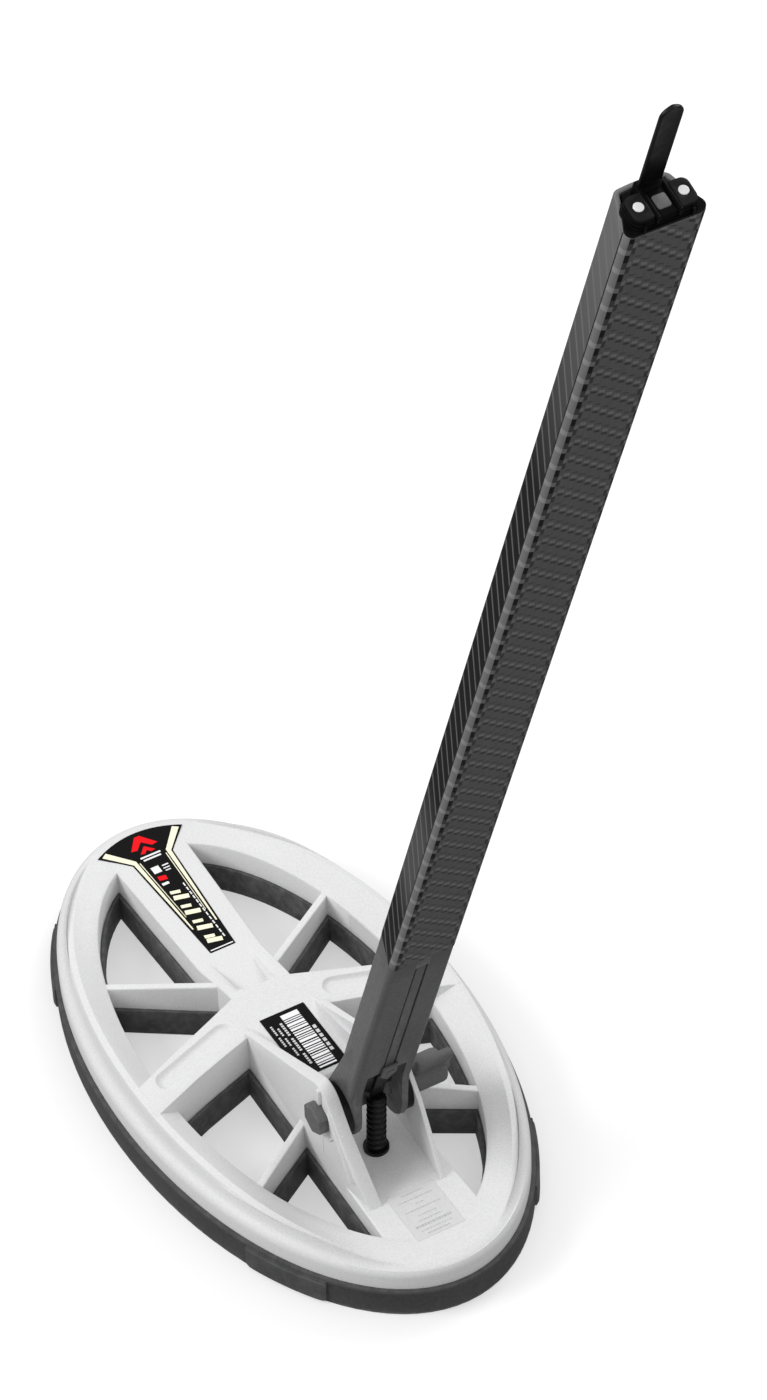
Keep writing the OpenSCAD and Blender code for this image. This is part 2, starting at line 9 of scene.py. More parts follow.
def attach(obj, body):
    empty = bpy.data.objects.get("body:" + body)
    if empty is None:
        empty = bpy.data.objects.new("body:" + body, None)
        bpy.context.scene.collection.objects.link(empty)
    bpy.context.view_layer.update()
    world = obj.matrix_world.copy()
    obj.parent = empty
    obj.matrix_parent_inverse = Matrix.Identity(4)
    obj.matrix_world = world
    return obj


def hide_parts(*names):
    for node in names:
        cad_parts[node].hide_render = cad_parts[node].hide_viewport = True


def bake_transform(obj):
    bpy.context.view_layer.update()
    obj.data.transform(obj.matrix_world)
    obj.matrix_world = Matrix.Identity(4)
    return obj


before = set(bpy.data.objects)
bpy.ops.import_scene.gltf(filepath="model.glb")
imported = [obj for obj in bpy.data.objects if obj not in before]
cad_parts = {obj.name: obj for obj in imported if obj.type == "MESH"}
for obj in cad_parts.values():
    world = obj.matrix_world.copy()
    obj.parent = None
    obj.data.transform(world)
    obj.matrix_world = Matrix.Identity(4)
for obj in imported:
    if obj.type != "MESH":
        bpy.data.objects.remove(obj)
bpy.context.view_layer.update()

MM = 0.001
scene = bpy.context.scene

# ------ sizes in millimetres, as in the CAD source

SHELL_A, SHELL_B = 118.55, 64.45
HOLE_A, HOLE_B = 102.35, 49.25
SKID_A, SKID_B = 120.0, 65.9
SHELL_Z, SPINE_Z, DECK_Z, HUB_Z = 3.4, 20.0, 18.2, 25.6
PIVOT_Y, PIVOT_Z = -55.6, 39.3
LEAN = radians(20.32)
TUBE_START, TUBE_END = 111.0, 514.5
EAR_FACE, RIGHT_EAR_FACE = 17.3, 14.4
KNOB_START, KNOB_LENGTH = 15.35, 13.6
SPOKE_WIDTH = 2.6
BOOT_FOOT, BOOT_LEAN, BOOT_LENGTH = (0.0, -60.2, 18.2), radians(4.4), 27.2
CAP_TOP = 518.9


def new_object(name, data):
    o = bpy.data.objects.new(name, data)
    scene.collection.objects.link(o)
    return o


# ------ camera


def make_camera():
    """A long lens above the coil's tail end and a little to its left."""
    data = bpy.data.cameras.new("camera")
    data.sensor_fit = "AUTO"
    data.sensor_width = 36.0
    data.lens = 134.56
    data.clip_start, data.clip_end = 0.05, 50.0
    cam = new_object("camera", data)
    turn = Euler([radians(a) for a in (47.1627, 1.9211, -29.759)])
    place = Matrix.Translation((-0.54172, -1.09946, 1.30548))
    cam.matrix_world = place @ turn.to_matrix().to_4x4()
    scene.camera = cam


make_camera()

# ------ mesh helpers


def stem(x, q, s):
    """A point of the stem's own frame: across, towards its front face, and along from the pivot."""
    return (
        x,
        PIVOT_Y + q * cos(LEAN) - s * sin(LEAN),
        PIVOT_Z + q * sin(LEAN) + s * cos(LEAN),
    )


def pivot(x, r, turn):
    """A point round the pivot axis; turn is from +Y towards +Z, in radians."""
    return (x, PIVOT_Y + r * cos(turn), PIVOT_Z + r * sin(turn))


def boot(r, turn, h):
    """A point round the boot's axis, h along it from the deck."""
    c, s = cos(BOOT_LEAN), sin(BOOT_LEAN)
    x, y = r * cos(turn), r * sin(turn)
    return (BOOT_FOOT[0] + x, BOOT_FOOT[1] + y * c - h * s, BOOT_FOOT[2] + y * s + h * c)


def full_turn(count):
    """Evenly spaced angles once round, in radians."""
    return [2 * pi * k / count for k in range(count)]


def unit(v):
    return v / np.linalg.norm(v)


def arc(x, y, r, first, last, count):
    """Points of an arc round (x, y), between two angles in degrees."""
    turns = [radians(first + (last - first) * k / count) for k in range(count + 1)]
    return [(x + r * cos(a), y + r * sin(a)) for a in turns]


def loft(rings, wrap=False):
    """Loops of points joined one to the next, with closed ends unless the loops wrap round."""
    n, count = len(rings[0]), len(rings)
    verts = [p for ring in rings for p in ring]
    faces = []
    for i in range(count if wrap else count - 1):
        j = (i + 1) % count
        for k in range(n):
            m = (k + 1) % n
            faces.append((i * n + k, i * n + m, j * n + m, j * n + k))
    if not wrap:
        faces.append(tuple(range(n))[::-1])
        faces.append(tuple((count - 1) * n + k for k in range(n)))
    return verts, faces


def prism(outline, low, high, place):
    """A flat outline drawn out between two levels; place turns (u, v, w) into a point."""
    return loft([[place(u, v, w) for u, v in outline] for w in (low, high)])


def across(y, z, x):
    """Places a prism whose outline is in (y, z) and whose length is along X."""
    return (x, y, z)


def plan(x, y, z):
    """Places a prism whose outline is in (x, y) and whose length is along Z."""
    return (x, y, z)


def joined(name, meshes):
    """One mesh from several, with its faces turned outwards."""
    bm = bmesh.new()
    for me in meshes:
        bm.from_mesh(me)
    bmesh.ops.recalc_face_normals(bm, faces=bm.faces)
    me = bpy.data.meshes.new(name)
    bm.to_mesh(me)
    bm.free()
    return me


def temp_object(shape):
    """A scratch object for the modifiers in solid()."""
    verts, faces = shape
    raw = bpy.data.meshes.new("raw")
    raw.from_pydata([[c * MM for c in v] for v in verts], [], faces)
    o = new_object("temp", joined("temp", [raw]))
    bpy.data.meshes.remove(raw)
    return o


def solid(shape, bevel=0.0, segments=2, angle=30.0, cuts=(), adds=(), keep=()):
    """A mesh from points and faces. keep, adds and cuts are shapes that it is clipped to, joined
    with and hollowed by; then its sharp edges are rounded."""
    o = temp_object(shape)
    others = []
    for kind, group in (("INTERSECT", keep), ("UNION", adds), ("DIFFERENCE", cuts)):
        for other in group:
            tool = temp_object(other)
            others.append(tool)
            m = o.modifiers.new("combine", "BOOLEAN")
            m.operation, m.object, m.solver = kind, tool, "EXACT"
    if bevel:
        m = o.modifiers.new("round", "BEVEL")
        m.width, m.segments = bevel * MM, segments
        m.limit_method, m.angle_limit = "ANGLE", radians(angle)
        m.use_clamp_overlap = True
        m.miter_outer = "MITER_ARC"
    dg = bpy.context.evaluated_depsgraph_get()
    me = bpy.data.meshes.new_from_object(o.evaluated_get(dg))
    for x in [o, *others]:
        old = x.data
        bpy.data.objects.remove(x)
        bpy.data.meshes.remove(old)
    return me


def piece(name, meshes, body, material, stands_for=(), angle=32.0):
    """One named object from one or more meshes. It rides on the body; a piece with no body is
    given its body by the caller or has none."""
    me = joined(name, meshes)
    for p in me.polygons:
        p.use_smooth = True
    me.set_sharp_from_angle(angle=radians(angle))
    me.materials.append(material)
    o = new_object(name, me)
    if body:
        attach(o, body)
    if stands_for:
        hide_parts(*stands_for)
    return o


def smooth(x, low, high):
    """Rises from 0 at low to 1 at high, level at both ends."""
    t = min(max((x - low) / (high - low), 0.0), 1.0)
    return t * t * (3 - 2 * t)


def line(y, points):
    """The value at y of a broken line through (y, value) points, y rising."""
    ys, vs = zip(*points)
    return float(np.interp(y, ys, vs))


# ------ materials


# Sockets of the Mix node when it mixes colours
MIX_FACTOR, MIX_A, MIX_B, MIX_RESULT = 0, 6, 7, 2


class Nodes:
    """A short way to wire shader nodes round one Principled shader."""

    def __init__(self, name):
        self.material = bpy.data.materials.new(name)
        self.material.use_nodes = True
        self.tree = self.material.node_tree
        self.shader = self.tree.nodes["Principled BSDF"]

    def add(self, kind, inputs=None, **settings):
        node = self.tree.nodes.new("ShaderNode" + kind)
        for k, v in settings.items():
            setattr(node, k, v)
        for k, v in (inputs or {}).items():
            if isinstance(v, bpy.types.NodeSocket):
                self.tree.links.new(v, node.inputs[k])
            else:
                node.inputs[k].default_value = v
        return node

    def math(self, operation, a, b=0.0, c=0.0):
        return self.add("Math", {0: a, 1: b, 2: c}, operation=operation).outputs[0]

    def times(self, a, b):
        return self.math("MULTIPLY", a, b)

    def place(self):
        return self.add("TexCoord").outputs["Object"]

    def noise(self, vector, scale, detail=3.0, rough=0.5):
        inputs = {"Vector": vector, "Scale": scale, "Detail": detail, "Roughness": rough}
        return self.add("TexNoise", inputs).outputs["Fac"]

    def ramp(self, fac, stops, mode="LINEAR"):
        node = self.add("ValToRGB", {"Fac": fac})
        node.color_ramp.interpolation = mode
        while len(node.color_ramp.elements) < len(stops):
            node.color_ramp.elements.new(0.5)
        for e, (at, v) in zip(node.color_ramp.elements, stops):
            e.position = at
            e.color = (*v, 1.0) if isinstance(v, tuple) else (v, v, v, 1.0)
        return node.outputs["Color"]

    def range(self, value, low, high, to_low, to_high):
        inputs = {"Value": value, "From Min": low, "From Max": high}
        inputs |= {"To Min": to_low, "To Max": to_high}
        return self.add("MapRange", inputs).outputs["Result"]

    def spread(self, noise, low, high):
        """The usual span of a noise texture, stretched between two values."""
        return self.range(noise, 0.3, 0.7, low, high)

    def band(self, value, low, high):
        """One between two places and nothing outside them."""
        rise = self.range(value, low - 0.05, low + 0.05, 0.0, 1.0)
        return self.times(rise, self.range(value, high - 0.05, high + 0.05, 1.0, 0.0))

    def mix(self, fac, a, b, blend="MIX"):
        node = self.add("Mix", data_type="RGBA", blend_type=blend)
        for k, v in ((MIX_FACTOR, fac), (MIX_A, a), (MIX_B, b)):
            if isinstance(v, bpy.types.NodeSocket):
                self.tree.links.new(v, node.inputs[k])
            elif isinstance(v, tuple) and len(v) == 3:
                node.inputs[k].default_value = (*v, 1.0)
            else:
                node.inputs[k].default_value = v
        return node.outputs[MIX_RESULT]

    def shade(self, tone, factor):
        """A colour made lighter or darker by a factor."""
        grey = self.add("CombineColor", {0: factor, 1: factor, 2: factor}).outputs[0]
        return self.mix(1.0, tone, grey, "MULTIPLY")

    def bump(self, height, strength, distance, below=None):
        inputs = {"Height": height, "Strength": strength, "Distance": distance * MM}
        if below is not None:
            inputs["Normal"] = below
        return self.add("Bump", inputs).outputs["Normal"]

    def wire(self, **inputs):
        """Sets the shader's inputs; an underscore in a name stands for a space."""
        for name, v in inputs.items():
            socket = self.shader.inputs[name.replace("_", " ")]
            if isinstance(v, bpy.types.NodeSocket):
                self.tree.links.new(v, socket)
            else:
                socket.default_value = (*v, 1.0) if isinstance(v, tuple) else v


def scaled(colour, factor):
    return tuple(min(c * factor, 1.0) for c in colour)


def moulded(
    name, colour, rough, vary=0.06, grain=1.2, depth=0.03, metallic=0.0, specular=0.5, edge_wear_and_highlight=0.0
):
    """Moulded plastic, rubber or metal: fine grain (grain and depth in mm), broad drift of the
    colour, and, when asked, lighter edges that are partly wear and partly a painted highlight."""
    n = Nodes(name)
    at = n.place()
    fine = n.noise(at, 1000.0 / grain, 4.0, 0.6)
    tone = n.mix(n.spread(fine, 0.0, 1.0), scaled(colour, 1 - vary), scaled(colour, 1 + vary))
    tone = n.shade(tone, n.spread(n.noise(at, 28.0), 1 - vary * 0.6, 1 + vary * 0.6))
    if edge_wear_and_highlight:
        # painted highlight along the sharp edges, mixed with edge wear
        edge = n.range(n.add("NewGeometry").outputs["Pointiness"], 0.52, 0.62, 0.0, edge_wear_and_highlight)
        broken = n.range(n.noise(at, 260.0, 4.0), 0.4, 0.65, 0.2, 1.0)
        pale = tuple(min(c * 2.2 + 0.03, 1.0) for c in colour)
        tone = n.mix(n.times(edge, broken), tone, pale)
    n.wire(
        Base_Color=tone,
        Roughness=n.spread(n.noise(at, 700.0 / grain), rough - 0.07, rough + 0.07),
        Normal=n.bump(fine, 0.5, depth),
        Metallic=metallic,
        Specular_IOR_Level=specular,
    )
    return n.material


def shell_material():
    """Off-white moulded plastic with a fine speckle and a few bright flecks."""
    n = Nodes("shell_plastic")
    at = n.place()
    speckle = n.noise(at, 1500.0, 3.0, 0.7)
    cells = n.add("TexVoronoi", {"Vector": at, "Scale": 260.0}, feature="F1").outputs["Distance"]
    fleck = n.range(cells, 0.03, 0.09, 1.0, 0.0)
    chosen = n.range(n.noise(at, 70.0, 2.0), 0.6, 0.66, 0.0, 1.0)
    greys = [(0.25, (0.62, 0.62, 0.625)), (0.5, (0.69, 0.69, 0.695)), (0.75, (0.75, 0.75, 0.755))]
    tone = n.mix(n.times(fleck, chosen), n.ramp(speckle, greys), (0.95, 0.95, 0.95))
    n.wire(
        Base_Color=n.shade(tone, n.spread(n.noise(at, 18.0, 2.0), 0.985, 1.015)),
        Roughness=n.spread(n.noise(at, 900.0), 0.45, 0.57),
        Normal=n.bump(speckle, 0.3, 0.015),
        Specular_IOR_Level=0.3,
    )
    return n.material


# The weave: length of one repeat along the stem and width of one column, then the bands on either
# side of the rear middle, each from one distance round the skin to another
PICK, COLUMN = 8.35, 2.8
FAR_COLUMN, NEAR_COLUMN, STRIP = (8.4, 9.6), (9.6, 10.9), (10.9, 13.25)
EDGE_LINE, SIDE = (13.25, 13.75), (13.75, 24.7)


def float_relief(n, around, along):
    """Rows of short floats, each between two dark gaps: their relief, and the share of light that
    the seams between the columns leave."""
    place = n.math("DIVIDE", around, COLUMN)
    column, share = n.math("FLOOR", place), n.math("FRACT", place)
    shifted = n.math("ADD", along, n.times(column, PICK / 3))
    tilt = n.times(share, 0.14)
    phase = n.math("FRACT", n.math("ADD", n.math("DIVIDE", shifted, PICK), tilt))
    stops = [(0.0, 0.5), (0.06, 0.5), (0.1, 0.08), (0.17, 0.08), (0.24, 0.5), (0.3, 1.0)]
    stops += [(0.38, 1.0), (0.45, 0.5), (0.55, 0.46), (0.58, 0.2), (0.62, 0.2), (0.66, 0.5)]
    profile = n.ramp(phase, stops + [(1.0, 0.5)], "EASE")
    stops = [(0.0, 0.0), (0.06, 0.0), (0.26, 1.0), (0.76, 1.0), (0.94, 0.0), (1.0, 0.0)]
    body = n.ramp(share, stops, "EASE")
    body = n.times(body, n.range(n.math("ABSOLUTE", around), 8.35, 8.45, 1.0, 0.0))
    seam = n.ramp(share, [(0.0, 0.9), (0.1, 1.0), (0.9, 1.0), (1.0, 0.9)])
    return n.times(n.math("SUBTRACT", profile, 0.5), body), seam


def carbon_material():
    """Woven carbon: rows of short floats on the wide faces, a plain corner strip with two broken
    columns beside it, and diagonal stripes on the sides."""
    n = Nodes("carbon_weave")
    at = n.place()
    skin = n.add("Attribute", attribute_name="weave").outputs["Vector"]
    around, along, cut = n.add("SeparateXYZ", {0: skin}).outputs
    away = n.math("ABSOLUTE", around)
    relief, seam = float_relief(n, around, along)
    side = n.band(away, *SIDE)
    # the wide faces
    grain = n.add("Mapping", {"Vector": at, "Scale": (1.0, 0.2, 0.08)}).outputs[0]
    fibre = n.spread(n.noise(grain, 1600.0, 2.0), 0.0, 1.0)
    tone = n.mix(fibre, (0.09, 0.09, 0.091), (0.107, 0.107, 0.108))
    tone = n.mix(n.range(relief, 0.0, 0.45, 0.0, 1.0), tone, (0.168, 0.168, 0.17))
    tone = n.mix(n.range(relief, -0.42, 0.0, 0.85, 0.0), tone, (0.026, 0.026, 0.0265))
    tone = n.mix(1.0, tone, seam, "MULTIPLY")
    # the sides, with a painted reflection that makes them paler at the foot and towards the top
    slant = n.math("SUBTRACT", along, n.times(away, 0.65))
    stops = [(0.0, 0.0), (0.1, 0.9), (0.16, 1.0), (0.22, 0.3), (0.34, 0.0), (1.0, 0.0)]
    stripe = n.ramp(n.math("FRACT", n.math("DIVIDE", slant, PICK)), stops, "EASE")
    # painted reflection of the lights on the side faces: a pale band low down and a paler top
    foot = n.range(along, 140.0, 160.0, 0.0, 0.5)
    foot = n.times(foot, n.range(along, 185.0, 215.0, 1.0, 0.0))
    painted_reflection = n.math("ADD", n.range(along, 390.0, 500.0, 0.0, 1.0), foot)
    striped = n.times(stripe, 0.8)
    striped = n.mix(striped, (0.017, 0.017, 0.0175), (0.17, 0.17, 0.173))
    striped = n.mix(n.times(painted_reflection, 0.8), striped, (0.17, 0.17, 0.172))
    tone = n.mix(side, tone, striped)
    # the corner strip and the broken columns
    step = n.math("FRACT", n.math("DIVIDE", along, PICK))
    tab = n.ramp(step, [(0.0, 0.0), (0.72, 0.0), (0.74, 1.0), (0.98, 1.0), (1.0, 0.0)])
    plain = n.mix(n.times(tab, 0.7), (0.175, 0.175, 0.177), (0.29, 0.29, 0.293))
    stops = [(0.0, 0.04), (0.09, 0.04), (0.11, 0.15), (0.34, 0.15), (0.36, 0.09), (0.72, 0.09)]
    far = n.ramp(step, stops + [(0.76, 0.04), (1.0, 0.04)])
    stops = [(0.0, 0.05), (0.34, 0.05), (0.36, 0.01), (0.74, 0.01), (0.76, 0.15), (1.0, 0.15)]
    near = n.ramp(step, stops)
    tone = n.mix(n.band(away, *STRIP), tone, plain)
    tone = n.mix(n.band(away, *FAR_COLUMN), tone, far)
    tone = n.mix(n.band(away, *NEAR_COLUMN), tone, near)
    tone = n.mix(n.band(away, *EDGE_LINE), tone, (0.006, 0.006, 0.006))
    tone = n.mix(cut, tone, (0.19, 0.19, 0.192))
    on_faces = n.times(relief, n.math("SUBTRACT", 1.0, side))
    height = n.math("ADD", on_faces, n.times(stripe, side))
    n.wire(
        Base_Color=tone,
        Roughness=n.spread(n.noise(at, 500.0), 0.36, 0.46),
        Normal=n.bump(n.noise(at, 1800.0, 2.0), 0.15, 0.01, n.bump(height, 0.4, 0.1)),
        Specular_IOR_Level=n.range(side, 0.0, 1.0, 0.05, 0.002),
    )
    return n.material


def wound_material(name, colour, pitch):
    """Enamelled copper wire wound side by side, one turn every pitch millimetres."""
    n = Nodes(name)
    at = n.place()
    inputs = {"Vector": at, "Scale": 1000.0 / pitch / (2 * pi), "Distortion": 0.6}
    wave = n.add("TexWave", inputs, bands_direction="Z").outputs["Fac"]
    # painted shade in the grooves between the turns and a painted highlight on their crowns
    stops = [(0.0, scaled(colour, 0.45)), (0.5, colour), (1.0, scaled(colour, 1.25))]
    n.wire(
        Base_Color=n.ramp(wave, stops),
        Metallic=0.9,
        Roughness=n.spread(n.noise(at, 300.0), 0.24, 0.38),
        Normal=n.bump(wave, 0.6, 0.1),
    )
    return n.material


def board_material(name, mask, trace):
    """Solder mask over copper tracks, with bright pads."""
    n = Nodes(name)
    at = n.place()
    inputs = {"Vector": at, "Scale": 420.0}
    cells = n.add("TexVoronoi", inputs, feature="DISTANCE_TO_EDGE").outputs["Distance"]
    tracks = n.range(cells, 0.06, 0.1, 1.0, 0.0)
    dots = n.add("TexVoronoi", {"Vector": at, "Scale": 500.0}).outputs["Distance"]
    tone = n.mix(n.times(tracks, 0.6), mask, trace)
    n.wire(
        Base_Color=n.mix(n.range(dots, 0.1, 0.16, 1.0, 0.0), tone, (0.75, 0.7, 0.55)),
        Roughness=n.spread(n.noise(at, 200.0), 0.25, 0.4),
        Normal=n.bump(tracks, 0.3, 0.03),
    )
    return n.material


def printed_material(name, colour, rough):
    """Ink on a thin film: nearly even, with a slight mottle and orange peel."""
    n = Nodes(name)
    at = n.place()
    mottle = n.noise(at, 900.0)
    n.wire(
        Base_Color=n.mix(n.spread(mottle, 0.0, 1.0), scaled(colour, 0.96), scaled(colour, 1.03)),
        Roughness=n.spread(n.noise(at, 300.0), rough - 0.05, rough + 0.05),
        Normal=n.bump(mottle, 0.2, 0.01),
        Specular_IOR_Level=0.12,
    )
    return n.material


SHELL = shell_material()
CARBON = carbon_material()
# After the name: colour, roughness, variation of the colour, grain, depth
SKID = moulded("skid_plastic", (0.07, 0.07, 0.071), 0.55, 0.14, 1.4, 0.05, specular=0.06, edge_wear_and_highlight=0.6)
FORK = moulded("fork_nylon", (0.092, 0.092, 0.094), 0.42, 0.1, 0.9, 0.03, specular=0.16, edge_wear_and_highlight=0.3)
HARDWARE = moulded(
    "hardware_nylon", (0.12, 0.12, 0.122), 0.5, 0.1, 1.0, 0.03, specular=0.1, edge_wear_and_highlight=0.3
)
BLACK = moulded(
    "black_plastic", (0.0025, 0.0025, 0.0026), 0.32, 0.15, 1.0, 0.02, specular=0.05, edge_wear_and_highlight=0.2
)
RUBBER = moulded("black_rubber", (0.0035, 0.0035, 0.0035), 0.42, 0.2, 1.6, 0.04, specular=0.22)
PLATE = moulded("cap_plate", (0.013, 0.013, 0.0135), 0.4, 0.1, 1.0, 0.02, specular=0.08, edge_wear_and_highlight=0.3)
INLAY = moulded("cap_inlay_grey", (0.11, 0.11, 0.112), 0.45, 0.08, 1.0, 0.02)
CONTACT = moulded("contact_white", (0.86, 0.86, 0.87), 0.25, 0.02, 1.0, 0.01)
BRASS = moulded("brass", (0.72, 0.5, 0.2), 0.3, 0.1, 0.8, 0.02, metallic=1.0)
STEEL = moulded("steel", (0.55, 0.56, 0.58), 0.3, 0.08, 0.8, 0.02, metallic=1.0)
CELL = moulded("cell_foil", (0.6, 0.61, 0.63), 0.35, 0.05, 3.0, 0.05, metallic=0.8)
CASE = moulded("case_black", (0.014, 0.014, 0.015), 0.4, 0.15, 1.2, 0.03, edge_wear_and_highlight=0.3)
COPPER = wound_material("wound_copper", (0.75, 0.33, 0.13), 0.5)
BOARD = board_material("green_board", (0.01, 0.09, 0.035), (0.05, 0.2, 0.08))
CHIPS = moulded("component_resin", (0.02, 0.02, 0.022), 0.35, 0.2, 1.0, 0.03)
INK_BLACK = printed_material("film_black", (0.0012, 0.0012, 0.0012), 0.45)
INK_CREAM = printed_material("film_cream", (0.93, 0.9, 0.68), 0.5)
INK_WHITE = printed_material("film_white", (0.85, 0.85, 0.86), 0.5)
INK_RED = printed_material("film_red", (0.82, 0.004, 0.01), 0.45)
FILM_PALE = printed_material("film_pale", (0.63, 0.63, 0.635), 0.35)
FILM_LINE = printed_material("film_line", (0.46, 0.46, 0.465), 0.45)

# ------ coil shell: the ring


def rim(a, b, t):
    """A point of an ellipse with half axes a along Y and b along X; t is 0 at the front tip."""
    return np.array((b * sin(t), a * cos(t)))


def crest_share(t):
    """How far the ridge stands up at an angle from the front tip: not at the tips, fully along
    the sides."""
    c = degrees(abs(atan2(sin(t), cos(t))))
    return smooth(c, 15, 52) * (1 - smooth(c, 138, 166))


def ring_section(t):
    """Outline of the ring's wall at an angle, as (distance in from the outer edge, height)."""
    width = float(np.linalg.norm(rim(SHELL_A, SHELL_B, t) - rim(HOLE_A, HOLE_B, t)))
    y = SHELL_A * cos(t)
    share = crest_share(t)
    tip, lip = (19.9, 19.0) if y > 0 else (18.3, 18.0)
    ridge = 26.0 - 7.0 * (y / 118.0) ** 2
    # distance in, height along the sides, height at the tips
    wall = [
        (2.3, 19.0, lip),
        (3.0, 19.9, lip + 0.25),
        (3.5, 21.3, lip + 0.4),
        (3.9, 23.0, lip + 0.5),
        (4.2, ridge - 1.1, lip + 0.57),
        (4.5, ridge - 0.6, lip + 0.62),
        (6.7, ridge, tip - 0.12),
        (6.9, ridge - 0.1, tip - 0.1),
        (width - 4.0, 0.45 * ridge + 0.55 * 19.8, tip),
        (width - 0.9, 19.9, tip),
        (width - 0.3, 19.5, tip - 0.25),
        (width, 18.9, tip - 0.9),
    ]
    crown = [(d, low + (high - low) * share) for d, high, low in wall]
    edge = 18.6 + (lip - 19.0) * (1 - share)
    foot = [(0.5, SHELL_Z), (0.0, SHELL_Z + 0.5), (0.0, 15.4), (0.12, 16.4), (0.5, 17.4)]
    foot += [(1.1, 18.1), (1.7, edge)]
    return foot + crown + [(width, SHELL_Z + 0.4), (width - 0.4, SHELL_Z)]


def ring_point(t, d, z):
    """A point of the ring at an angle, d in from its outer edge."""
    outer, inner = rim(SHELL_A, SHELL_B, t), rim(HOLE_A, HOLE_B, t)
    p = outer + unit(inner - outer) * d
    return (float(p[0]), float(p[1]), z)


def ring_mesh():
    rings = [[ring_point(t, d, z) for d, z in ring_section(t)] for t in full_turn(360)]
    return solid(loft(rings, wrap=True))


# ------ coil shell: spine, hub and deck

# Along Y: half of the spine's width, and the height of its top
HALF_WIDTH = [(-112, 18.1), (-96, 17.7), (-36, 16.25), (-27, 16.1), (-0.2, 15.5), (18.6, 11.4)]
HALF_WIDTH += [(108, 14.4), (114, 14.6)]
TOP = [(-112, 17.6), (-107, 18.25), (-96, DECK_Z), (-38, DECK_Z), (-35, 18.7), (-28.5, 25.2)]
TOP += [(-26.5, HUB_Z), (18, HUB_Z), (21, 25.2), (40, 20.35), (43, SPINE_Z), (100, SPINE_Z)]
TOP += [(104, 19.95), (110, 19.55), (112, 19.0)]
# The scoop in the ramp up to the hub: the shares of the width where its flank starts and meets
# its floor, half of its width along Y, and the arc of its end wall
SCOOP_EDGE, SCOOP_FLOOR = 0.72, 0.61
SCOOP_HALF = [(18, 7.0), (22, 7.2), (46, 8.1), (50, 8.3)]
SCOOP_ARC_Y, SCOOP_ARC_R = 38, 18.0


def scoop_point(y, c, top):
    """A point of the scoop at a share c of the spine's half width."""
    half = line(y, SCOOP_HALF)
    edge = min((SCOOP_EDGE - abs(c)) / (SCOOP_EDGE - SCOOP_FLOOR), 1.0)
    reach = half * (1 - 0.16 * edge) if abs(c) > 0.6 else abs(c) / SCOOP_FLOOR * half * 0.84
    x = copysign(reach, c)
    wall = SCOOP_ARC_Y - sqrt(SCOOP_ARC_R**2 - x * x)
    if y < 20.8:
        return (x, min(y, wall - 0.1) if y > 19.9 else y, top)
    depth = smooth(edge, 0.0, 1.0)
    if y > 22:
        return (x, max(y, wall + 1.4), top - (top - SPINE_Z) * depth)
    # the end wall: four stations gathered on a concave arc
    share = (22 - y) / 1.2
    sunk = 1 - depth * (1 - smooth(share, 0.0, 1.0))
    return (x, wall + 1.3 - share * 1.3, SPINE_Z + (top - SPINE_Z) * sunk)


def spine_mesh():
    """One loft along the coil, with the scoop between two flanks in the ramp up to the hub."""
    stations = [112, 110, 107, 104, 100, 90, 75, 60, 50, 46, 43.5, 41.5, 40, 37, 34, 31, 28, 25.5]
    stations += [23, 22, 21.6, 21.2, 20.8, 20.0, 19, 18, 15, 10, 5, 0, -10, -20, -26, -27.3, -28.6]
    stations += [-30, -32, -34, -35.2, -36.4, -38, -45, -60, -80, -96, -104, -107, -110, -112]
    left = [-1, -0.97, -0.86, -0.72, -0.69, -0.66, -0.61, -0.5, -0.3, -0.1]
    columns = left + [0.0] + [-c for c in reversed(left)]
    rings = []
    for y in stations:
        half, top = line(y, HALF_WIDTH), line(y, TOP)
        ring = []
        for c in columns:
            if 19.5 < y < 46 and abs(c) < SCOOP_EDGE:
                ring.append(scoop_point(y, c, top))
            else:
                drop = 0.45 if abs(c) == 1 else 0.06 if abs(c) > 0.95 else 0.0
                ring.append((c * half, y, top - drop))
        rings.append(ring + [(half, y, SHELL_Z), (-half, y, SHELL_Z)])
    return solid(loft(rings))


def arm_mesh(side):
    """One swept arm from the hub to the ring's ridge, with a long shallow pocket in its top."""
    # distance out, front edge, rear edge, top
    stations = [(6, 21.0, 3.5, 25.5), (13, 18.0, 0.6, 25.58), (25, 12.8, -3.3, 25.65)]
    stations += [(38.8, 7.0, -8.2, 25.75), (50, 1.9, -12.9, 25.85), (57.8, -1.6, -16.1, 25.92)]
    stations += [(58.6, -1.9, -16.4, 25.6)]
    rings = []
    for x, front, rear, top in stations:
        ring = [(front, SHELL_Z), (front, top - 0.55), (front - 0.16, top - 0.16)]
        ring += [(front - 0.55, top), (rear + 0.55, top), (rear + 0.16, top - 0.16)]
        ring += [(rear, top - 0.55), (rear, SHELL_Z)]
        rings.append([(x * side, y, z) for y, z in ring])
    start, end = np.array((21.5, 6.0)), np.array((47.5, -3.6))
    run = unit(end - start)
    base = degrees(atan2(run[1], run[0]))
    pocket = []
    for z, grow in ((24.35, -0.9), (24.5, -0.35), (24.9, 0.15), (25.4, 0.55), (26.5, 1.6)):
        outline = arc(*end, 3.4 + grow, base - 90, base + 90, 12)
        outline += arc(*start, 3.4 + grow, base + 90, base + 270, 12)
        pocket.append([(float(x) * side, float(y), z) for x, y in outline])
    return solid(loft(rings), cuts=[loft(pocket)])


def bar_mesh(start, end, tops):
    """A thin straight spoke with a rounded top edge."""
    a, b = np.array(start, float), np.array(end, float)
    run = unit(b - a)
    out = np.array((-run[1], run[0])) * SPOKE_WIDTH / 2
    rings = []
    for p, top in ((a, tops[0]), (b, tops[1])):
        half = [(1, SHELL_Z), (1, top - 0.45), (0.86, top - 0.12), (0.6, top)]
        ring = []
        for share, z in half + [(-share, z) for share, z in reversed(half)]:
            q = p + out * share
            ring.append((float(q[0]), float(q[1]), z))
        rings.append(ring)
    return solid(loft(rings))


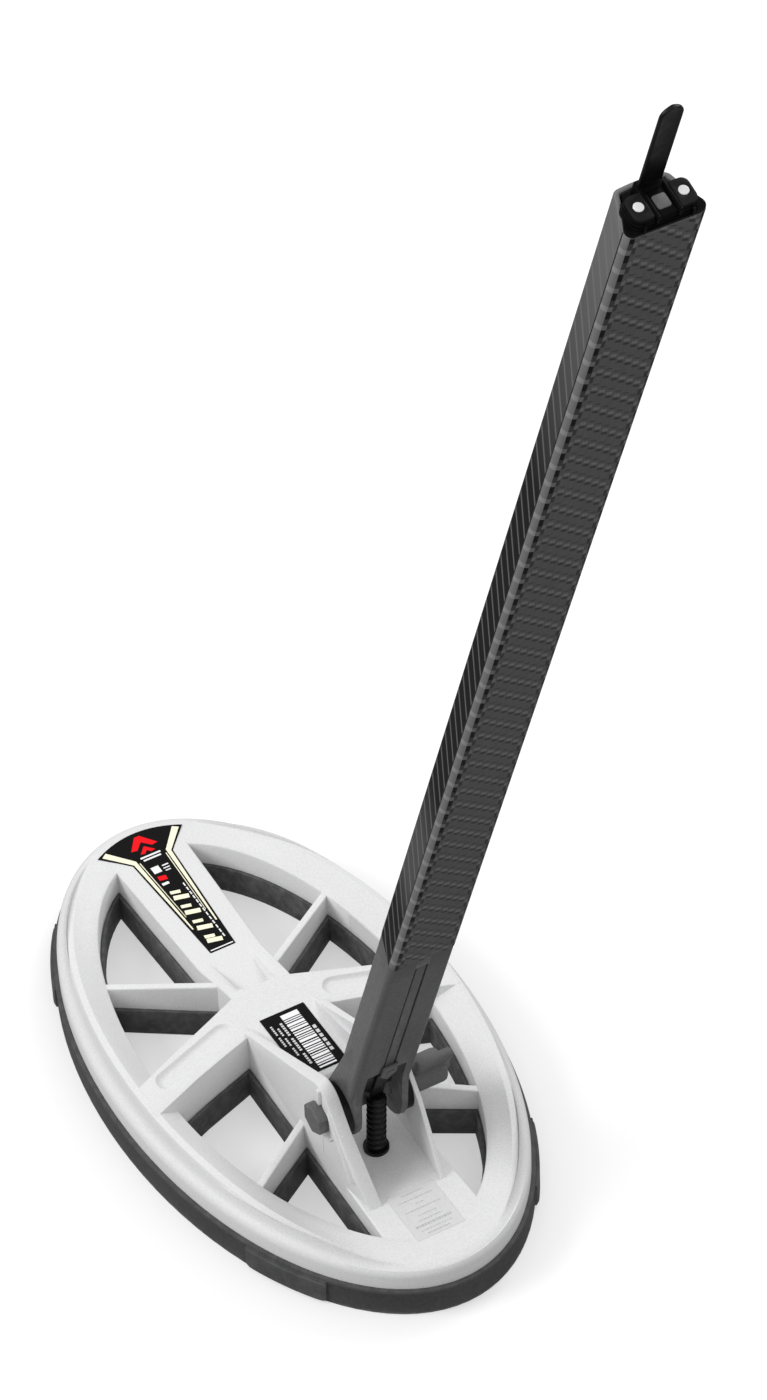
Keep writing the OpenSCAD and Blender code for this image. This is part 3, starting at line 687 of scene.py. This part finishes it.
def ear_mesh(side):
    """An ear that leans inwards towards its tail; the left one is thicker than the right one."""
    crown = arc(-54.0, 43.9, 8.0, 63.6, 142.6, 16)
    outline = [(2.0, 20.0), (2.0, 25.9), *crown, (-84.9, 16.7), (-84.9, 12.0)]
    face = RIGHT_EAR_FACE if side > 0 else EAR_FACE
    footprint = [(12.6, 2.0), (15.4, 2.0), (15.5, 0.0), (face, -44), (face, -67)]
    footprint += [(face - 1.7, -85), (10.9, -85), (12.6, -67)]
    slab = prism([(side * x, y) for x, y in footprint], 14, 60, plan)
    side_view = prism(outline, side * 9, side * 20, across)
    return solid(side_view, bevel=0.55, segments=3, keep=[slab])


def gusset_mesh(side):
    """Low wedge on the hub beside the label, running into the ear's inner face."""
    rings = []
    stations = ((3.8, 0.3, HUB_Z + 0.05), (-6, 1.2, 28.6), (-22, 1.7, 33.0), (-40, 0.4, 37.5))
    for y, half, top in stations:
        inner = 12.7 - half
        ring = [(13.4, 20.0), (13.4, top), (inner + 0.3, top - 0.2), (inner, HUB_Z - 1.0)]
        rings.append([(side * x, y, z) for x, z in ring])
    return solid(loft(rings))


def left_ear_trims():
    """On the left ear: the rib behind the bolt head, the fin above it, a mould seam and the raised
    rim of the bolt head's seat."""
    # outline in (y, z), how far it stands out of the ear, bevel and its segments
    shapes = [
        ([(-60.9, 46.4), (-63.2, 44.2), (-75.4, 24.2), (-68.0, 29.0)], 1.0, 0.35, 2),
        ([(-54.7, 45.2), (-56.3, 45.2), (-56.3, 51.4), (-54.7, 51.7)], 1.2, 0.3, 2),
        ([(-56.0, 22.0), (-55.5, 22.0), (-55.5, 33.0), (-56.0, 33.0)], 0.2, 0.1, 1),
    ]
    trims = []
    for outline, proud, bevel, segments in shapes:
        shape = prism(outline, -EAR_FACE + 1.2, -EAR_FACE - proud, across)
        trims.append(solid(shape, bevel=bevel, segments=segments))
    profile = ((0.3, 7.9), (-0.45, 8.1), (-0.65, 8.4), (-0.65, 8.7), (-0.4, 9.0), (0.3, 9.1))
    turns = [radians(165 + 130 * k / 36) for k in range(37)]
    seat = loft([[pivot(-EAR_FACE + x, r, turn) for x, r in profile] for turn in turns])
    return trims + [solid(seat)]


def build_shell():
    parts = [ring_mesh(), spine_mesh()]
    for side in (1, -1):
        parts.append(arm_mesh(side))
        parts.append(bar_mesh((side * 9, 28.2), (side * 46.5, 54.1), (22.7, 19.1)))
        parts.append(bar_mesh((side * 13, -38.0), (side * 46, -58.5), (22.7, 19.0)))
        parts.append(ear_mesh(side))
        parts.append(gusset_mesh(side))
    parts += left_ear_trims()
    piece("shell_top", parts, "coil", SHELL, ["coil_top_shell"], angle=26)


build_shell()

# ------ skid cover: its skirt and clips


def skid_point(t, out):
    """A point (x, y) of the skid's outline at an angle, moved square away from it."""
    normal = np.array((sin(t) / SKID_B, cos(t) / SKID_A))
    x, y = rim(SKID_A, SKID_B, t) + unit(normal) * out
    return float(x), float(y)


def build_skid():
    """The outer wall of the skid shoe that rubs on the ground: a chamfered foot, a flat side and a
    fine lip under the shell, with four clips that stand proud of it."""
    wall = [(-1.2, 0.0), (-0.55, 0.15), (0.02, 0.95), (0.04, 9.1), (0.22, 9.5), (0.26, 10.2)]
    wall += [(0.05, 10.75), (-0.4, 10.88), (-1.3, 10.88), (-1.3, 10.3), (-1.0, 9.5), (-1.0, 1.5)]
    wall += [(-1.6, 0.6)]
    rings = [[(*skid_point(t, out), z) for out, z in wall] for t in full_turn(300)]
    parts = [solid(loft(rings, wrap=True))]
    for sx, sy in ((1, 1), (1, -1), (-1, 1), (-1, -1)):
        rings = []
        for k in range(19):
            t = radians(36.8 + 18.4 * k / 18)
            proud = 1.35 * min(1.0, 0.55 + min(k, 18 - k) / 2.5)
            section = [(-0.7, 0.7), (proud - 0.3, 0.7), (proud, 1.1), (proud, 8.8)]
            section += [(proud - 0.35, 9.4), (-0.7, 9.9)]
            points = [(*skid_point(t, out), z) for out, z in section]
            rings.append([(sx * x, sy * y, z) for x, y, z in points])
        parts.append(solid(loft(rings)))
    piece("skid_skirt", parts, "skid", SKID, angle=25)


build_skid()

# ------ labels


def flat_piece(name, outlines, material, low, high, stands_for=()):
    """Flat outlines of one colour on the coil, between two levels."""
    parts = [solid(prism(o, low, high, plan)) for o in outlines]
    piece(name, parts, "coil", material, stands_for)


def box(x0, y0, x1, y1):
    return [(x0, y0), (x1, y0), (x1, y1), (x0, y1)]


BADGE_Z = 20.12


def film(outline, lift=0.0):
    """A thin film lying on the spine and the front of the ring."""
    return solid(prism(outline, BADGE_Z - 0.45, BADGE_Z + lift, plan))


def build_badge():
    """A black film that flares at the front, with cream stripes, a chevron, bars and blocks."""
    half, front = 16.7, []
    for k in range(25):
        x = -half + 2 * half * k / 24
        front.append((x, 107.6 + 4.9 * (1 - (x / half) ** 2)))
    outline = front + [(7.9, 97.9), (4.9, 46.2), (-4.9, 46.2), (-7.9, 97.9)]
    piece("badge_film", [film(outline)], "coil", INK_BLACK, ["front_badge"])
    cream = []
    for side in (1, -1):
        stripe = [(15.2, 107.1), (13.2, 108.6), (5.9, 99.4), (4.35, 59.5), (4.85, 59.5)]
        stripe += [(7.35, 98.1)]
        inner = [(5.35, 97.9), (5.0, 97.9), (3.75, 66.0), (3.95, 66.0)]
        cream += [film([(x * side, y) for x, y in shape], 0.06) for shape in (stripe, inner)]
    for y0, y1 in ((74.0, 80.6), (65.6, 72.6), (56.8, 64.0), (49.6, 55.4)):
        low = [(-3.4, y0 + 1.4), (1.9, y0), (2.4, y0 + 2.0), (-2.9, y0 + 3.5)]
        high = [(-3.1, y1 - 2.0), (0.4, y1 - 2.9), (0.7, y1 - 1.4), (-2.9, y1 - 0.5)]
        cream += [film(low, 0.06), film(high, 0.06)]
    piece("badge_stripes", cream, "coil", INK_CREAM)
    arrow = [(-5.2, 104.4), (-2.9, 104.0), (0.0, 107.2), (2.9, 104.0), (5.2, 104.4)]
    shapes = [
        arrow + [(1.0, 110.4), (-1.0, 110.4)],
        [(-2.9, 101.6), (-1.2, 101.3), (0.0, 102.6), (1.2, 101.3), (2.9, 101.6), (0.0, 104.9)],
        [(-3.3, 86.6), (-0.3, 86.0), (-0.1, 88.2), (-3.1, 88.8)],
    ]
    piece("badge_emblem", [film(shape, 0.08) for shape in shapes], "coil", INK_RED)
    # left, right, rear edge, length
    bars = [(-3.9, 3.9, 99.4, 0.8), (-3.4, 3.4, 97.9, 0.8), (-3.2, -0.2, 90.4, 3.4)]
    bars += [(-3.4, -0.8, 83.8, 1.2), (1.0, 3.4, 92.6, 0.6), (0.8, 3.2, 91.2, 0.5)]
    bars += [(1.0, 3.0, 89.9, 0.5), (-4.3, 4.3, 46.9, 0.5)]
    small = [film(box(x0, y, x1, y + h), 0.06) for x0, x1, y, h in bars]
    for k in range(13):
        small.append(film(box(3.0, 51.0 + 2.4 * k, 3.5, 52.7 + 2.4 * k), 0.06))
    piece("badge_bars", small, "coil", INK_WHITE)


build_badge()


def build_barcode():
    """A black film with a plain pattern of white bars, a block and rows of small marks."""
    outline = box(-8.4, -26.4, 8.5, 4.3)
    low, high = HUB_Z - 0.2, HUB_Z + 0.22
    flat_piece("code_film", [outline], INK_BLACK, low, high, ["barcode_label"])
    bars = [box(-1.5, 0.2, 5.0, 2.5)]
    y = -0.25
    for k in range(40):
        w = (0.5, 0.5, 1.2, 0.5, 1.0, 0.5, 0.75)[k % 7]
        if y - w < -25.8:
            break
        bars.append(box(-1.5, y - w, 5.0, y))
        y -= w + (0.45, 0.55, 0.45, 0.45, 0.7)[k % 5]
    flat_piece("code_bars", bars, INK_WHITE, HUB_Z, HUB_Z + 0.26)
    # left, right, start, step, how many, and after how many one is left out
    rows = [(5.7, 6.9, -6.8, 2.35, 6, 9), (-3.4, -2.5, -0.5, 1.15, 19, 7)]
    rows += [(-5.2, -4.5, -2.2, 1.05, 15, 5), (-6.9, -6.2, -0.2, 1.0, 12, 6)]
    marks = []
    for x0, x1, start, step, count, gap in rows:
        for k in range(count):
            if k % gap != gap - 1:
                y = start - k * step
                marks.append(box(x0, y - step * 0.7, x1, y))
    flat_piece("code_marks", marks, FILM_PALE, HUB_Z, HUB_Z + 0.25)


build_barcode()


def build_rating():
    """A pale film on the deck with rows of small marks."""
    outline = box(-8.8, -103.4, 8.8, -81.9)
    low, high = DECK_Z - 0.3, DECK_Z + 0.2
    flat_piece("rating_film", [outline], FILM_PALE, low, high, ["rating_label"])
    # rear edge, half of the length, height
    rows = [(-84.0, 4.0, 0.4), (-86.5, 6.4, 0.4), (-88.9, 1.4, 0.4), (-91.2, 6.6, 0.45)]
    rows += [(-94.0, 3.4, 0.4), (-96.2, 4.4, 0.45), (-98.6, 6.6, 1.0), (-100.4, 5.8, 0.35)]
    rows += [(-102.2, 4.2, 0.5)]
    marks = []
    for y, half, h in rows:
        x, k = -half, 0
        while x < half - 0.3:
            w = (0.75, 0.5, 1.1, 0.6)[k % 4]
            marks.append(box(x, y, min(x + w, half), y + h))
            x += w + 0.32
            k += 1
    flat_piece("rating_lines", marks, FILM_LINE, DECK_Z, DECK_Z + 0.23)


build_rating()

# ------ pivot bolt, knob


def pivot_ring(x, r, count):
    return [pivot(x, r, t) for t in full_turn(count)]


def build_bolt():
    """A hexagonal head and a plain shank."""
    rings = []
    for x, r in ((-17.25, 5.7), (-17.5, 5.8), (-20.6, 5.8), (-20.95, 5.65), (-21.15, 5.3)):
        rings.append([pivot(x, r, radians(90 + 60 * k)) for k in range(6)])
    head = solid(loft(rings), bevel=0.28, segments=3, angle=28)
    steps = ((-17.6, 2.5), (25.4, 2.5), (25.9, 2.1))
    shank = solid(loft([pivot_ring(x, r, 48) for x, r in steps]))
    piece("bolt", [head, shank], "coil", HARDWARE, ["pivot_bolt"])


build_bolt()


def build_knob():
    """A round barrel with two long wings and a small end cap."""
    start, end = KNOB_START, KNOB_START + KNOB_LENGTH - 1
    profile = [(start, 2.9), (start, 5.6), (start + 0.35, 5.9), (start + 0.9, 6.0)]
    profile += [(end - 1.6, 6.0), (end - 0.7, 5.8), (end - 0.2, 5.3), (end, 4.4)]
    profile += [(end + 0.05, 3.0), (end + 0.15, 2.7), (end + 1.7, 2.6), (end + 2.1, 2.3)]
    profile += [(end + 2.25, 0.4)]
    bore = loft([pivot_ring(x, 4.0, 48) for x in (start - 1, start + 9)])
    parts = [solid(loft([pivot_ring(x, r, 64) for x, r in profile]), cuts=[bore])]
    # along a wing: place, share of its full thickness
    tip = KNOB_START + KNOB_LENGTH + 0.1
    stations = [(start + 0.3, 0.55), (start + 0.55, 0.78), (start + 1.1, 0.94), (start + 1.8, 1.0)]
    stations += [(tip - 1.6, 1.0), (tip - 0.8, 0.93), (tip - 0.25, 0.76), (tip, 0.5)]
    for turn in (120, 300):
        c, s = cos(radians(turn)), sin(radians(turn))
        rings = []
        for x, scale in stations:
            half = 2.0 * scale
            ring = arc(11.7, 0.0, half, -90, 90, 16)
            flank = [(9.0, half * 0.86), (6.5, half * 0.95), (3.2, half)]
            ring += flank + [(r, -w) for r, w in reversed(flank)]
            rings.append([(x, PIVOT_Y + r * c - w * s, PIVOT_Z + r * s + w * c) for r, w in ring])
        parts.append(solid(loft(rings)))
    piece("knob_body", parts, "knob", HARDWARE, ["wing_knob"], angle=38)


build_knob()

# ------ stem section


def section(inset=0.0):
    """Points of the stem's section, right half then left half, as (x, q, distance along the skin
    from the rear middle)."""
    flat, corner, crown = 7, 12, 8  # steps of each stretch
    right = [(0.0, -5.5 + inset)]
    for k in range(1, flat):
        right.append((9.4 * k / flat, -5.5 + inset))
    right += arc(9.4, -3.2, 2.3 - inset, -90, 17.5, corner)
    right += arc(6.1, 6.8, 2.4 - inset, 17.5, 82, corner)
    x_end, y_end = right[-1]
    for k in range(1, crown + 1):
        x = x_end * (1 - k / crown)
        right.append((x, y_end + (9.5 - inset - y_end) * (1 - (x / x_end) ** 2)))
    reach = [0.0]
    for a, b in zip(right, right[1:]):
        reach.append(reach[-1] + dist(a, b))
    full = [(x, q, d) for (x, q), d in zip(right, reach)]
    return full + [(-x, q, -d) for x, q, d in full[-2:0:-1]]


def build_tube():
    """The carbon tube, with its skin's coordinates for the weave: distance round, distance along,
    and one on the cut end and in the bore."""
    outer, inner = section(), section(1.5)
    levels = [TUBE_START + 0.25, *np.linspace(115, 510, 80), TUBE_END - 0.3]
    path = [(TUBE_START, section(0.25))] + [(s, outer) for s in levels]
    path += [(TUBE_END, section(0.3)), (TUBE_END, section(1.3))]
    path += [(TUBE_END - 0.2, inner), (TUBE_START, inner)]
    first_cut = len(path) - 4
    rings, skin = [], []
    for k, (s, outline) in enumerate(path):
        rings.append([stem(x, q, s) for x, q, _ in outline])
        skin += [(d, s, float(k >= first_cut)) for _, _, d in outer]
    me = solid(loft(rings, wrap=True))
    o = piece("stem_tube", [me], None, CARBON, ["carbon_tube"], angle=50)
    attribute = o.data.attributes.new("weave", "FLOAT_VECTOR", "POINT")
    attribute.data.foreach_set("vector", np.array(skin, np.float32).ravel())
    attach(o, "stem")


build_tube()


def box_in_stem(x0, x1, q0, q1, s0, s1):
    outline = ((x0, q0), (x1, q0), (x1, q1), (x0, q1))
    return loft([[stem(x, q, s) for x, q in outline] for s in (s0, s1)])


def stem_block(x0, x1, q0, q1, s0, s1, bevel):
    return solid(box_in_stem(x0, x1, q0, q1, s0, s1), bevel=bevel)


# A cheek of the fork: place along the stem, rear edge, front edge, outer face
CHEEK = [(-10.1, -1.0, 1.0, 9.4), (-9.8, -2.6, 2.6, 9.9), (-8.6, -5.3, 5.3, 10.15)]
CHEEK += [(-6.4, -7.8, 7.8, 10.15), (-3.4, -9.5, 9.5, 10.15), (0.0, -10.1, 10.1, 10.15)]
CHEEK += [(4.0, -9.4, 9.7, 10.15), (8.0, -8.2, 9.1, 10.15), (14.0, -6.4, 8.2, 10.3)]
CHEEK += [(20.0, -5.4, 7.3, 10.3), (28.0, -5.0, 6.3, 10.2), (36.0, -4.6, 5.0, 9.6)]
CHEEK += [(43.0, -4.2, 4.0, 8.6)]


def build_fork():
    """The moulding at the tube's foot: a plug for the tube, two cheeks on the pivot, the pocket
    for the connector and the groove for the channel strip."""
    rings = []
    for s in (11.0, 12.5, 14, 17, 32, 45, 60, 80, 100, 110.9):
        draw_in = 1 - 0.09 * (1 - smooth(s, 10, 18))
        rings.append([stem(x * draw_in, q, s) for x, q, _ in section(0.15)])
    plug = loft([[stem(x, q, s) for x, q, _ in section(1.6)] for s in (110.5, 139.9)])
    cheeks = []
    for side in (1, -1):
        cheek = []
        for s, rear, front, out in CHEEK:
            edge = min(0.9, (front - rear) * 0.2)
            soft = edge * 0.3
            ring = [(7.5, rear + soft), (out - edge, rear), (out - soft, rear + soft)]
            ring += [(out, rear + edge), (out, front - edge), (out - soft, front - soft)]
            ring += [(out - edge, front), (7.5, front - soft)]
            cheek.append([stem(side * x, q, s) for x, q in ring])
        cheeks.append(loft(cheek))
    cuts = [
        loft([pivot_ring(x, 2.55, 40) for x in (-20, 20)]),
        box_in_stem(-5.6, 5.6, -3.7, 5.5, 28.5, 150),
        box_in_stem(-7.4, 7.4, -20, 5.3, -20, 29.5),
        box_in_stem(-2.4, 2.3, -8, -4.2, 29, 106),
    ]
    me = solid(loft(rings), bevel=0.3, angle=40, cuts=cuts, adds=[plug, *cheeks])
    piece("fork", [me], "stem", FORK, ["stem_fork"], angle=30)


build_fork()


def build_strip():
    """The strip in the fork's groove, with a pointed latch tab at its foot."""
    strip = stem_block(-1.8, 1.65, -5.3, -4.1, 30, 105.8, 0.25)
    neck = stem_block(-1.8, 1.8, -6.0, -4.8, 30, 34.2, 0.2)
    outline = [(-2.9, 34.5), (-3.1, 28.6), (0, 24.6), (3.1, 28.6), (2.9, 34.5)]
    tab = loft([[stem(x, q, s) for x, s in outline] for q in (-5.5, -6.5)])
    tab = solid(tab, bevel=0.35, segments=3)
    ridge = stem_block(-1.2, 1.2, -6.9, -6.3, 30.6, 31.6, 0.25)
    parts = [strip, neck, tab, ridge]
    piece("strip_and_latch", parts, "stem", FORK, ["channel_strip"])


build_strip()

# ------ boot and cable


def stem_round(x, q, r, s, count):
    """A circle square to the stem."""
    return [stem(x + r * cos(t), q + r * sin(t), s) for t in full_turn(count)]


def build_connector():
    """The plug in the fork's pocket: a recessed block with a narrower nose over it and a round
    collar that the boot grips."""
    wide = stem_block(-5.3, 5.3, -3.2, 5.0, 12.5, 28.2, 0.5)
    nose = stem_block(-2.4, 2.4, -4.3, -3.0, 9.0, 25.0, 0.4)
    rear = stem_block(-5.3, 5.3, -3.3, 5.0, 28.0, 41.4, 0.3)
    steps = ((8.7, 3.4), (9.2, 3.8), (12.7, 3.8))
    collar = solid(loft([stem_round(0.0, 0.4, r, s, 32) for s, r in steps]))
    parts = [wide, nose, rear, collar]
    piece("plug", parts, "stem", RUBBER, ["cable_connector"])


build_connector()


def build_boot():
    """The ribbed boot and the coil cable, which runs from under the board to the connector."""
    ribs, base, bore = 9, 1.6, 1.6
    step = (BOOT_LENGTH - base) / ribs
    profile = [(bore, base), (2.9, base), (3.0, 2.2)]
    rib = [(0.1, 2.3), (0.17, 2.9), (0.28, 3.3), (0.45, 3.4), (0.62, 3.3), (0.73, 2.9)]
    rib += [(0.8, 2.3), (0.92, 2.0)]
    for i in range(ribs):
        profile += [(r, base + step * i + step * share) for share, r in rib]
    # the bore has stations too, all along it
    profile += [(2.2, BOOT_LENGTH - 0.05)]
    profile += [(bore, float(h)) for h in np.linspace(BOOT_LENGTH, 3.0, 20)]
    me = solid(loft([[boot(r, t, h) for t in full_turn(40)] for r, h in profile], wrap=True))
    sleeve = piece("boot", [me], None, RUBBER, ["cable_boot"], angle=45)
    route = [(0, -20, 15.9), (0, -20, 14.0), (0, -20.6, 12.6), (0, -22, 12), (0, -35, 12)]
    route += [(0, -50, 12), (0, -58, 12), (0, -59.8, 12.8), (0, -60.2, 14.5)]
    route += [boot(0, 0, h) for h in np.linspace(0.0, BOOT_LENGTH + 0.2, 12)]
    side = Vector((1, 0, 0))
    rings = []
    for i, p in enumerate(route):
        before, after = route[max(i - 1, 0)], route[min(i + 1, len(route) - 1)]
        other = (Vector(after) - Vector(before)).normalized().cross(side)
        ring = []
        for t in full_turn(20):
            ring.append(tuple(Vector(p) + side * 1.5 * cos(t) + other * 1.5 * sin(t)))
        rings.append(ring)
    me = solid(loft(rings))
    core = piece("cable_core", [me], None, RUBBER, ["coil_cable"], angle=45)
    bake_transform(sleeve)
    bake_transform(core)


build_boot()

# ------ cap, contacts and strap


def rounded(x0, x1, q0, q1, r, corners=(1, 1, 1, 1)):
    """Rectangle in (x, q) with rounded corners; a zero in corners leaves that one sharp."""
    places = ((x1, q0), (x1, q1), (x0, q1), (x0, q0))
    out = []
    for (cx, cq), start, use in zip(places, (-90, 0, 90, 180), corners):
        if not use:
            out.append((cx, cq))
            continue
        mx = cx - r if cx == x1 else cx + r
        mq = cq + r if cq == q0 else cq - r
        out += arc(mx, mq, r, start, start + 90, 6)
    return out


def cap_block(outline, low, high, bevel=0.3, cuts=()):
    """An outline in (x, q) drawn out along the stem, with softened edges."""
    return solid(prism(outline, low, high, stem), bevel=bevel, angle=40, cuts=cuts)


def build_cap():
    """The battery's cap: a rim in the tube's mouth, a stepped block with two bars across it and
    two lugs, and on it two plates with a round contact each and a grey inlay between them."""
    rim_outline = [(x, q) for x, q, _ in section(1.9)]
    flange = [(x, min(q, 4.6)) for x, q, _ in section(0.15)]
    parts = [
        cap_block(rim_outline, 510.5, 514.7),
        solid(prism(flange, 514.56, 515.4, stem)),
        cap_block(rounded(-9.9, 9.9, -4.75, 4.2, 2.6), 514.0, 515.9),
        cap_block(rounded(-9.65, 9.65, -4.45, 4.1, 2.5), 515.5, 517.1),
        cap_block(rounded(-9.4, 9.4, -4.2, 4.0, 2.4), 516.8, CAP_TOP - 0.7),
        cap_block(rounded(-3.9, 3.9, 3.6, 7.4, 0.8), 514.2, CAP_TOP - 0.6),
    ]
    for x0, x1 in ((-3.75, -2.7), (2.7, 3.75)):
        parts.append(cap_block(rounded(x0, x1, -4.9, 4.4, 0.4), 516.0, CAP_TOP, 0.25))
    for x0, x1 in ((-7.4, -6.6), (6.6, 7.4)):
        parts.append(cap_block(rounded(x0, x1, -5.4, -4.2, 0.4), 513.8, 517.2, 0.2))
    piece("cap_body", parts, "battery", BLACK, ["battery_cap"])
    plates, dots = [], []
    for side in (1, -1):
        x0, x1, corners = (3.95, 9.1, (1, 1, 0, 0)) if side > 0 else (-9.1, -3.95, (0, 0, 1, 1))
        hole = loft([stem_round(side * 6.5, 0.0, 1.5, s, 32) for s in (515, 521)])
        outline = rounded(x0, x1, -3.95, 3.75, 2.1, corners)
        plates.append(cap_block(outline, CAP_TOP - 1.0, CAP_TOP + 0.02, 0.22, [hole]))
        steps = ((516.9, 1.42), (CAP_TOP + 0.05, 1.42))
        steps += ((CAP_TOP + 0.15, 1.32), (CAP_TOP + 0.2, 1.05))
        dots.append(solid(loft([stem_round(side * 6.5, 0.0, r, s, 40) for s, r in steps])))
    piece("cap_plates", plates, "battery", PLATE)
    inlay = cap_block(rounded(-2.0, 1.9, -2.5, 1.7, 0.7), CAP_TOP - 1.2, CAP_TOP - 0.3, 0.15)
    piece("inlay", [inlay], "battery", INLAY, ["cap_inlay"])
    piece("contacts", dots, "battery", CONTACT, ["charge_contacts"])


build_cap()


def build_strap():
    """The pull strap: a flat band with rounded edges, a raised border and a round tip."""
    width, tip, front, back = 3.4, 546.6, 5.0, 6.3
    levels = [*np.linspace(519.0, tip, 40)]
    levels += [tip + width * sin(a) for a in np.linspace(0.12, 1.5, 12)]
    rings = []
    for s in levels:
        half = width
        if s > tip:
            half = max(sqrt(max(width**2 - (s - tip) ** 2, 0.0)), 0.25)
        edge = min(0.5, half * 0.4)
        right = [(half - edge - 0.35, front + 0.16), (half - edge, front)]
        right += [(half - 0.25, front + 0.05), (half, front + 0.35), (half, back - 0.35)]
        right += [(half - 0.25, back - 0.08), (half - edge, back)]
        outline = right + [(-x, q) for x, q in reversed(right)]
        rings.append([stem(x, q, float(s)) for x, q in outline])
    o = piece("strap", [solid(loft(rings))], None, RUBBER, ["pull_strap"], angle=50)
    start, end = [[c * MM for c in stem(0, 5.65, s)] for s in (519.7, 529.0)]
    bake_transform(o)
    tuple(start)
    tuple(end)


build_strap()

# ------ CAD nodes that stay: their materials

CARRIED = [
    (SKID, ["coil_bottom_plate", "skid_cover"]),
    (COPPER, ["transmit_winding", "receive_winding"]),
    (BOARD, ["coil_circuit_board", "battery_board"]),
    (CHIPS, ["board_components"]),
    (RUBBER, ["cable_gland", "washer_left", "washer_right", "supply_cable", "cap_seal"]),
    (BRASS, ["knob_insert", "socket_pins"]),
    (STEEL, ["knob_washer"]),
    (CASE, ["battery_socket", "battery_case"]),
    (CELL, ["battery_cell"]),
]
for node_material, node_names in CARRIED:
    for node_name in node_names:
        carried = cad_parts[node_name]
        carried.data.materials.clear()
        carried.data.materials.append(node_material)

# ------ floor and light


def build_floor():
    """A white floor just under the object. It neither lights nor shows in the dark parts."""
    size, z = 6, -0.0004
    me = bpy.data.meshes.new("floor")
    corners = [(-size, -size, z), (size, -size, z), (size, size, z), (-size, size, z)]
    me.from_pydata(corners, [], [(0, 1, 2, 3)])
    o = new_object("floor", me)
    n = Nodes("floor_white")
    n.wire(Base_Color=(0.55, 0.55, 0.55), Roughness=0.9, Specular_IOR_Level=0.1)
    n.wire(Emission_Color=(1.0, 1.0, 1.0), Emission_Strength=0.45)
    me.materials.append(n.material)
    o.visible_diffuse = False
    o.visible_glossy = False


build_floor()


def area_light(name, place, aim, size, power):
    data = bpy.data.lights.new(name, "AREA")
    data.shape = "RECTANGLE"
    data.size, data.size_y = size
    data.energy = power
    o = new_object(name, data)
    o.location = place
    o.rotation_euler = (Vector(aim) - Vector(place)).to_track_quat("-Z", "Y").to_euler()


def build_world():
    """A soft sky: bright overhead and dim round the horizon, so upright walls stay darker."""
    world = bpy.data.worlds.new("studio")
    world.use_nodes = True
    tree = world.node_tree
    height = tree.nodes.new("ShaderNodeSeparateXYZ")
    tree.links.new(tree.nodes.new("ShaderNodeTexCoord").outputs["Generated"], height.inputs[0])
    span = tree.nodes.new("ShaderNodeMapRange")
    span.interpolation_type = "SMOOTHSTEP"
    for name, v in (("From Min", 0.0), ("From Max", 0.75), ("To Min", 0.3), ("To Max", 0.75)):
        span.inputs[name].default_value = v
    tree.links.new(height.outputs["Z"], span.inputs["Value"])
    back = tree.nodes["Background"]
    back.inputs["Color"].default_value = (1.0, 1.0, 1.0, 1.0)
    tree.links.new(span.outputs["Result"], back.inputs["Strength"])
    scene.world = world


build_world()
scene.view_settings.view_transform = "Standard"
area_light("key", (-2.3, 0.8, 1.9), (0.0, -0.05, 0.1), (1.4, 1.4), 52.0)
area_light("side", (2.3, 0.9, 1.9), (0.0, -0.1, 0.1), (1.5, 1.5), 32.0)
area_light("rear", (-0.4, -2.2, 0.7), (0.0, -0.1, 0.2), (1.6, 1.0), 8.0)
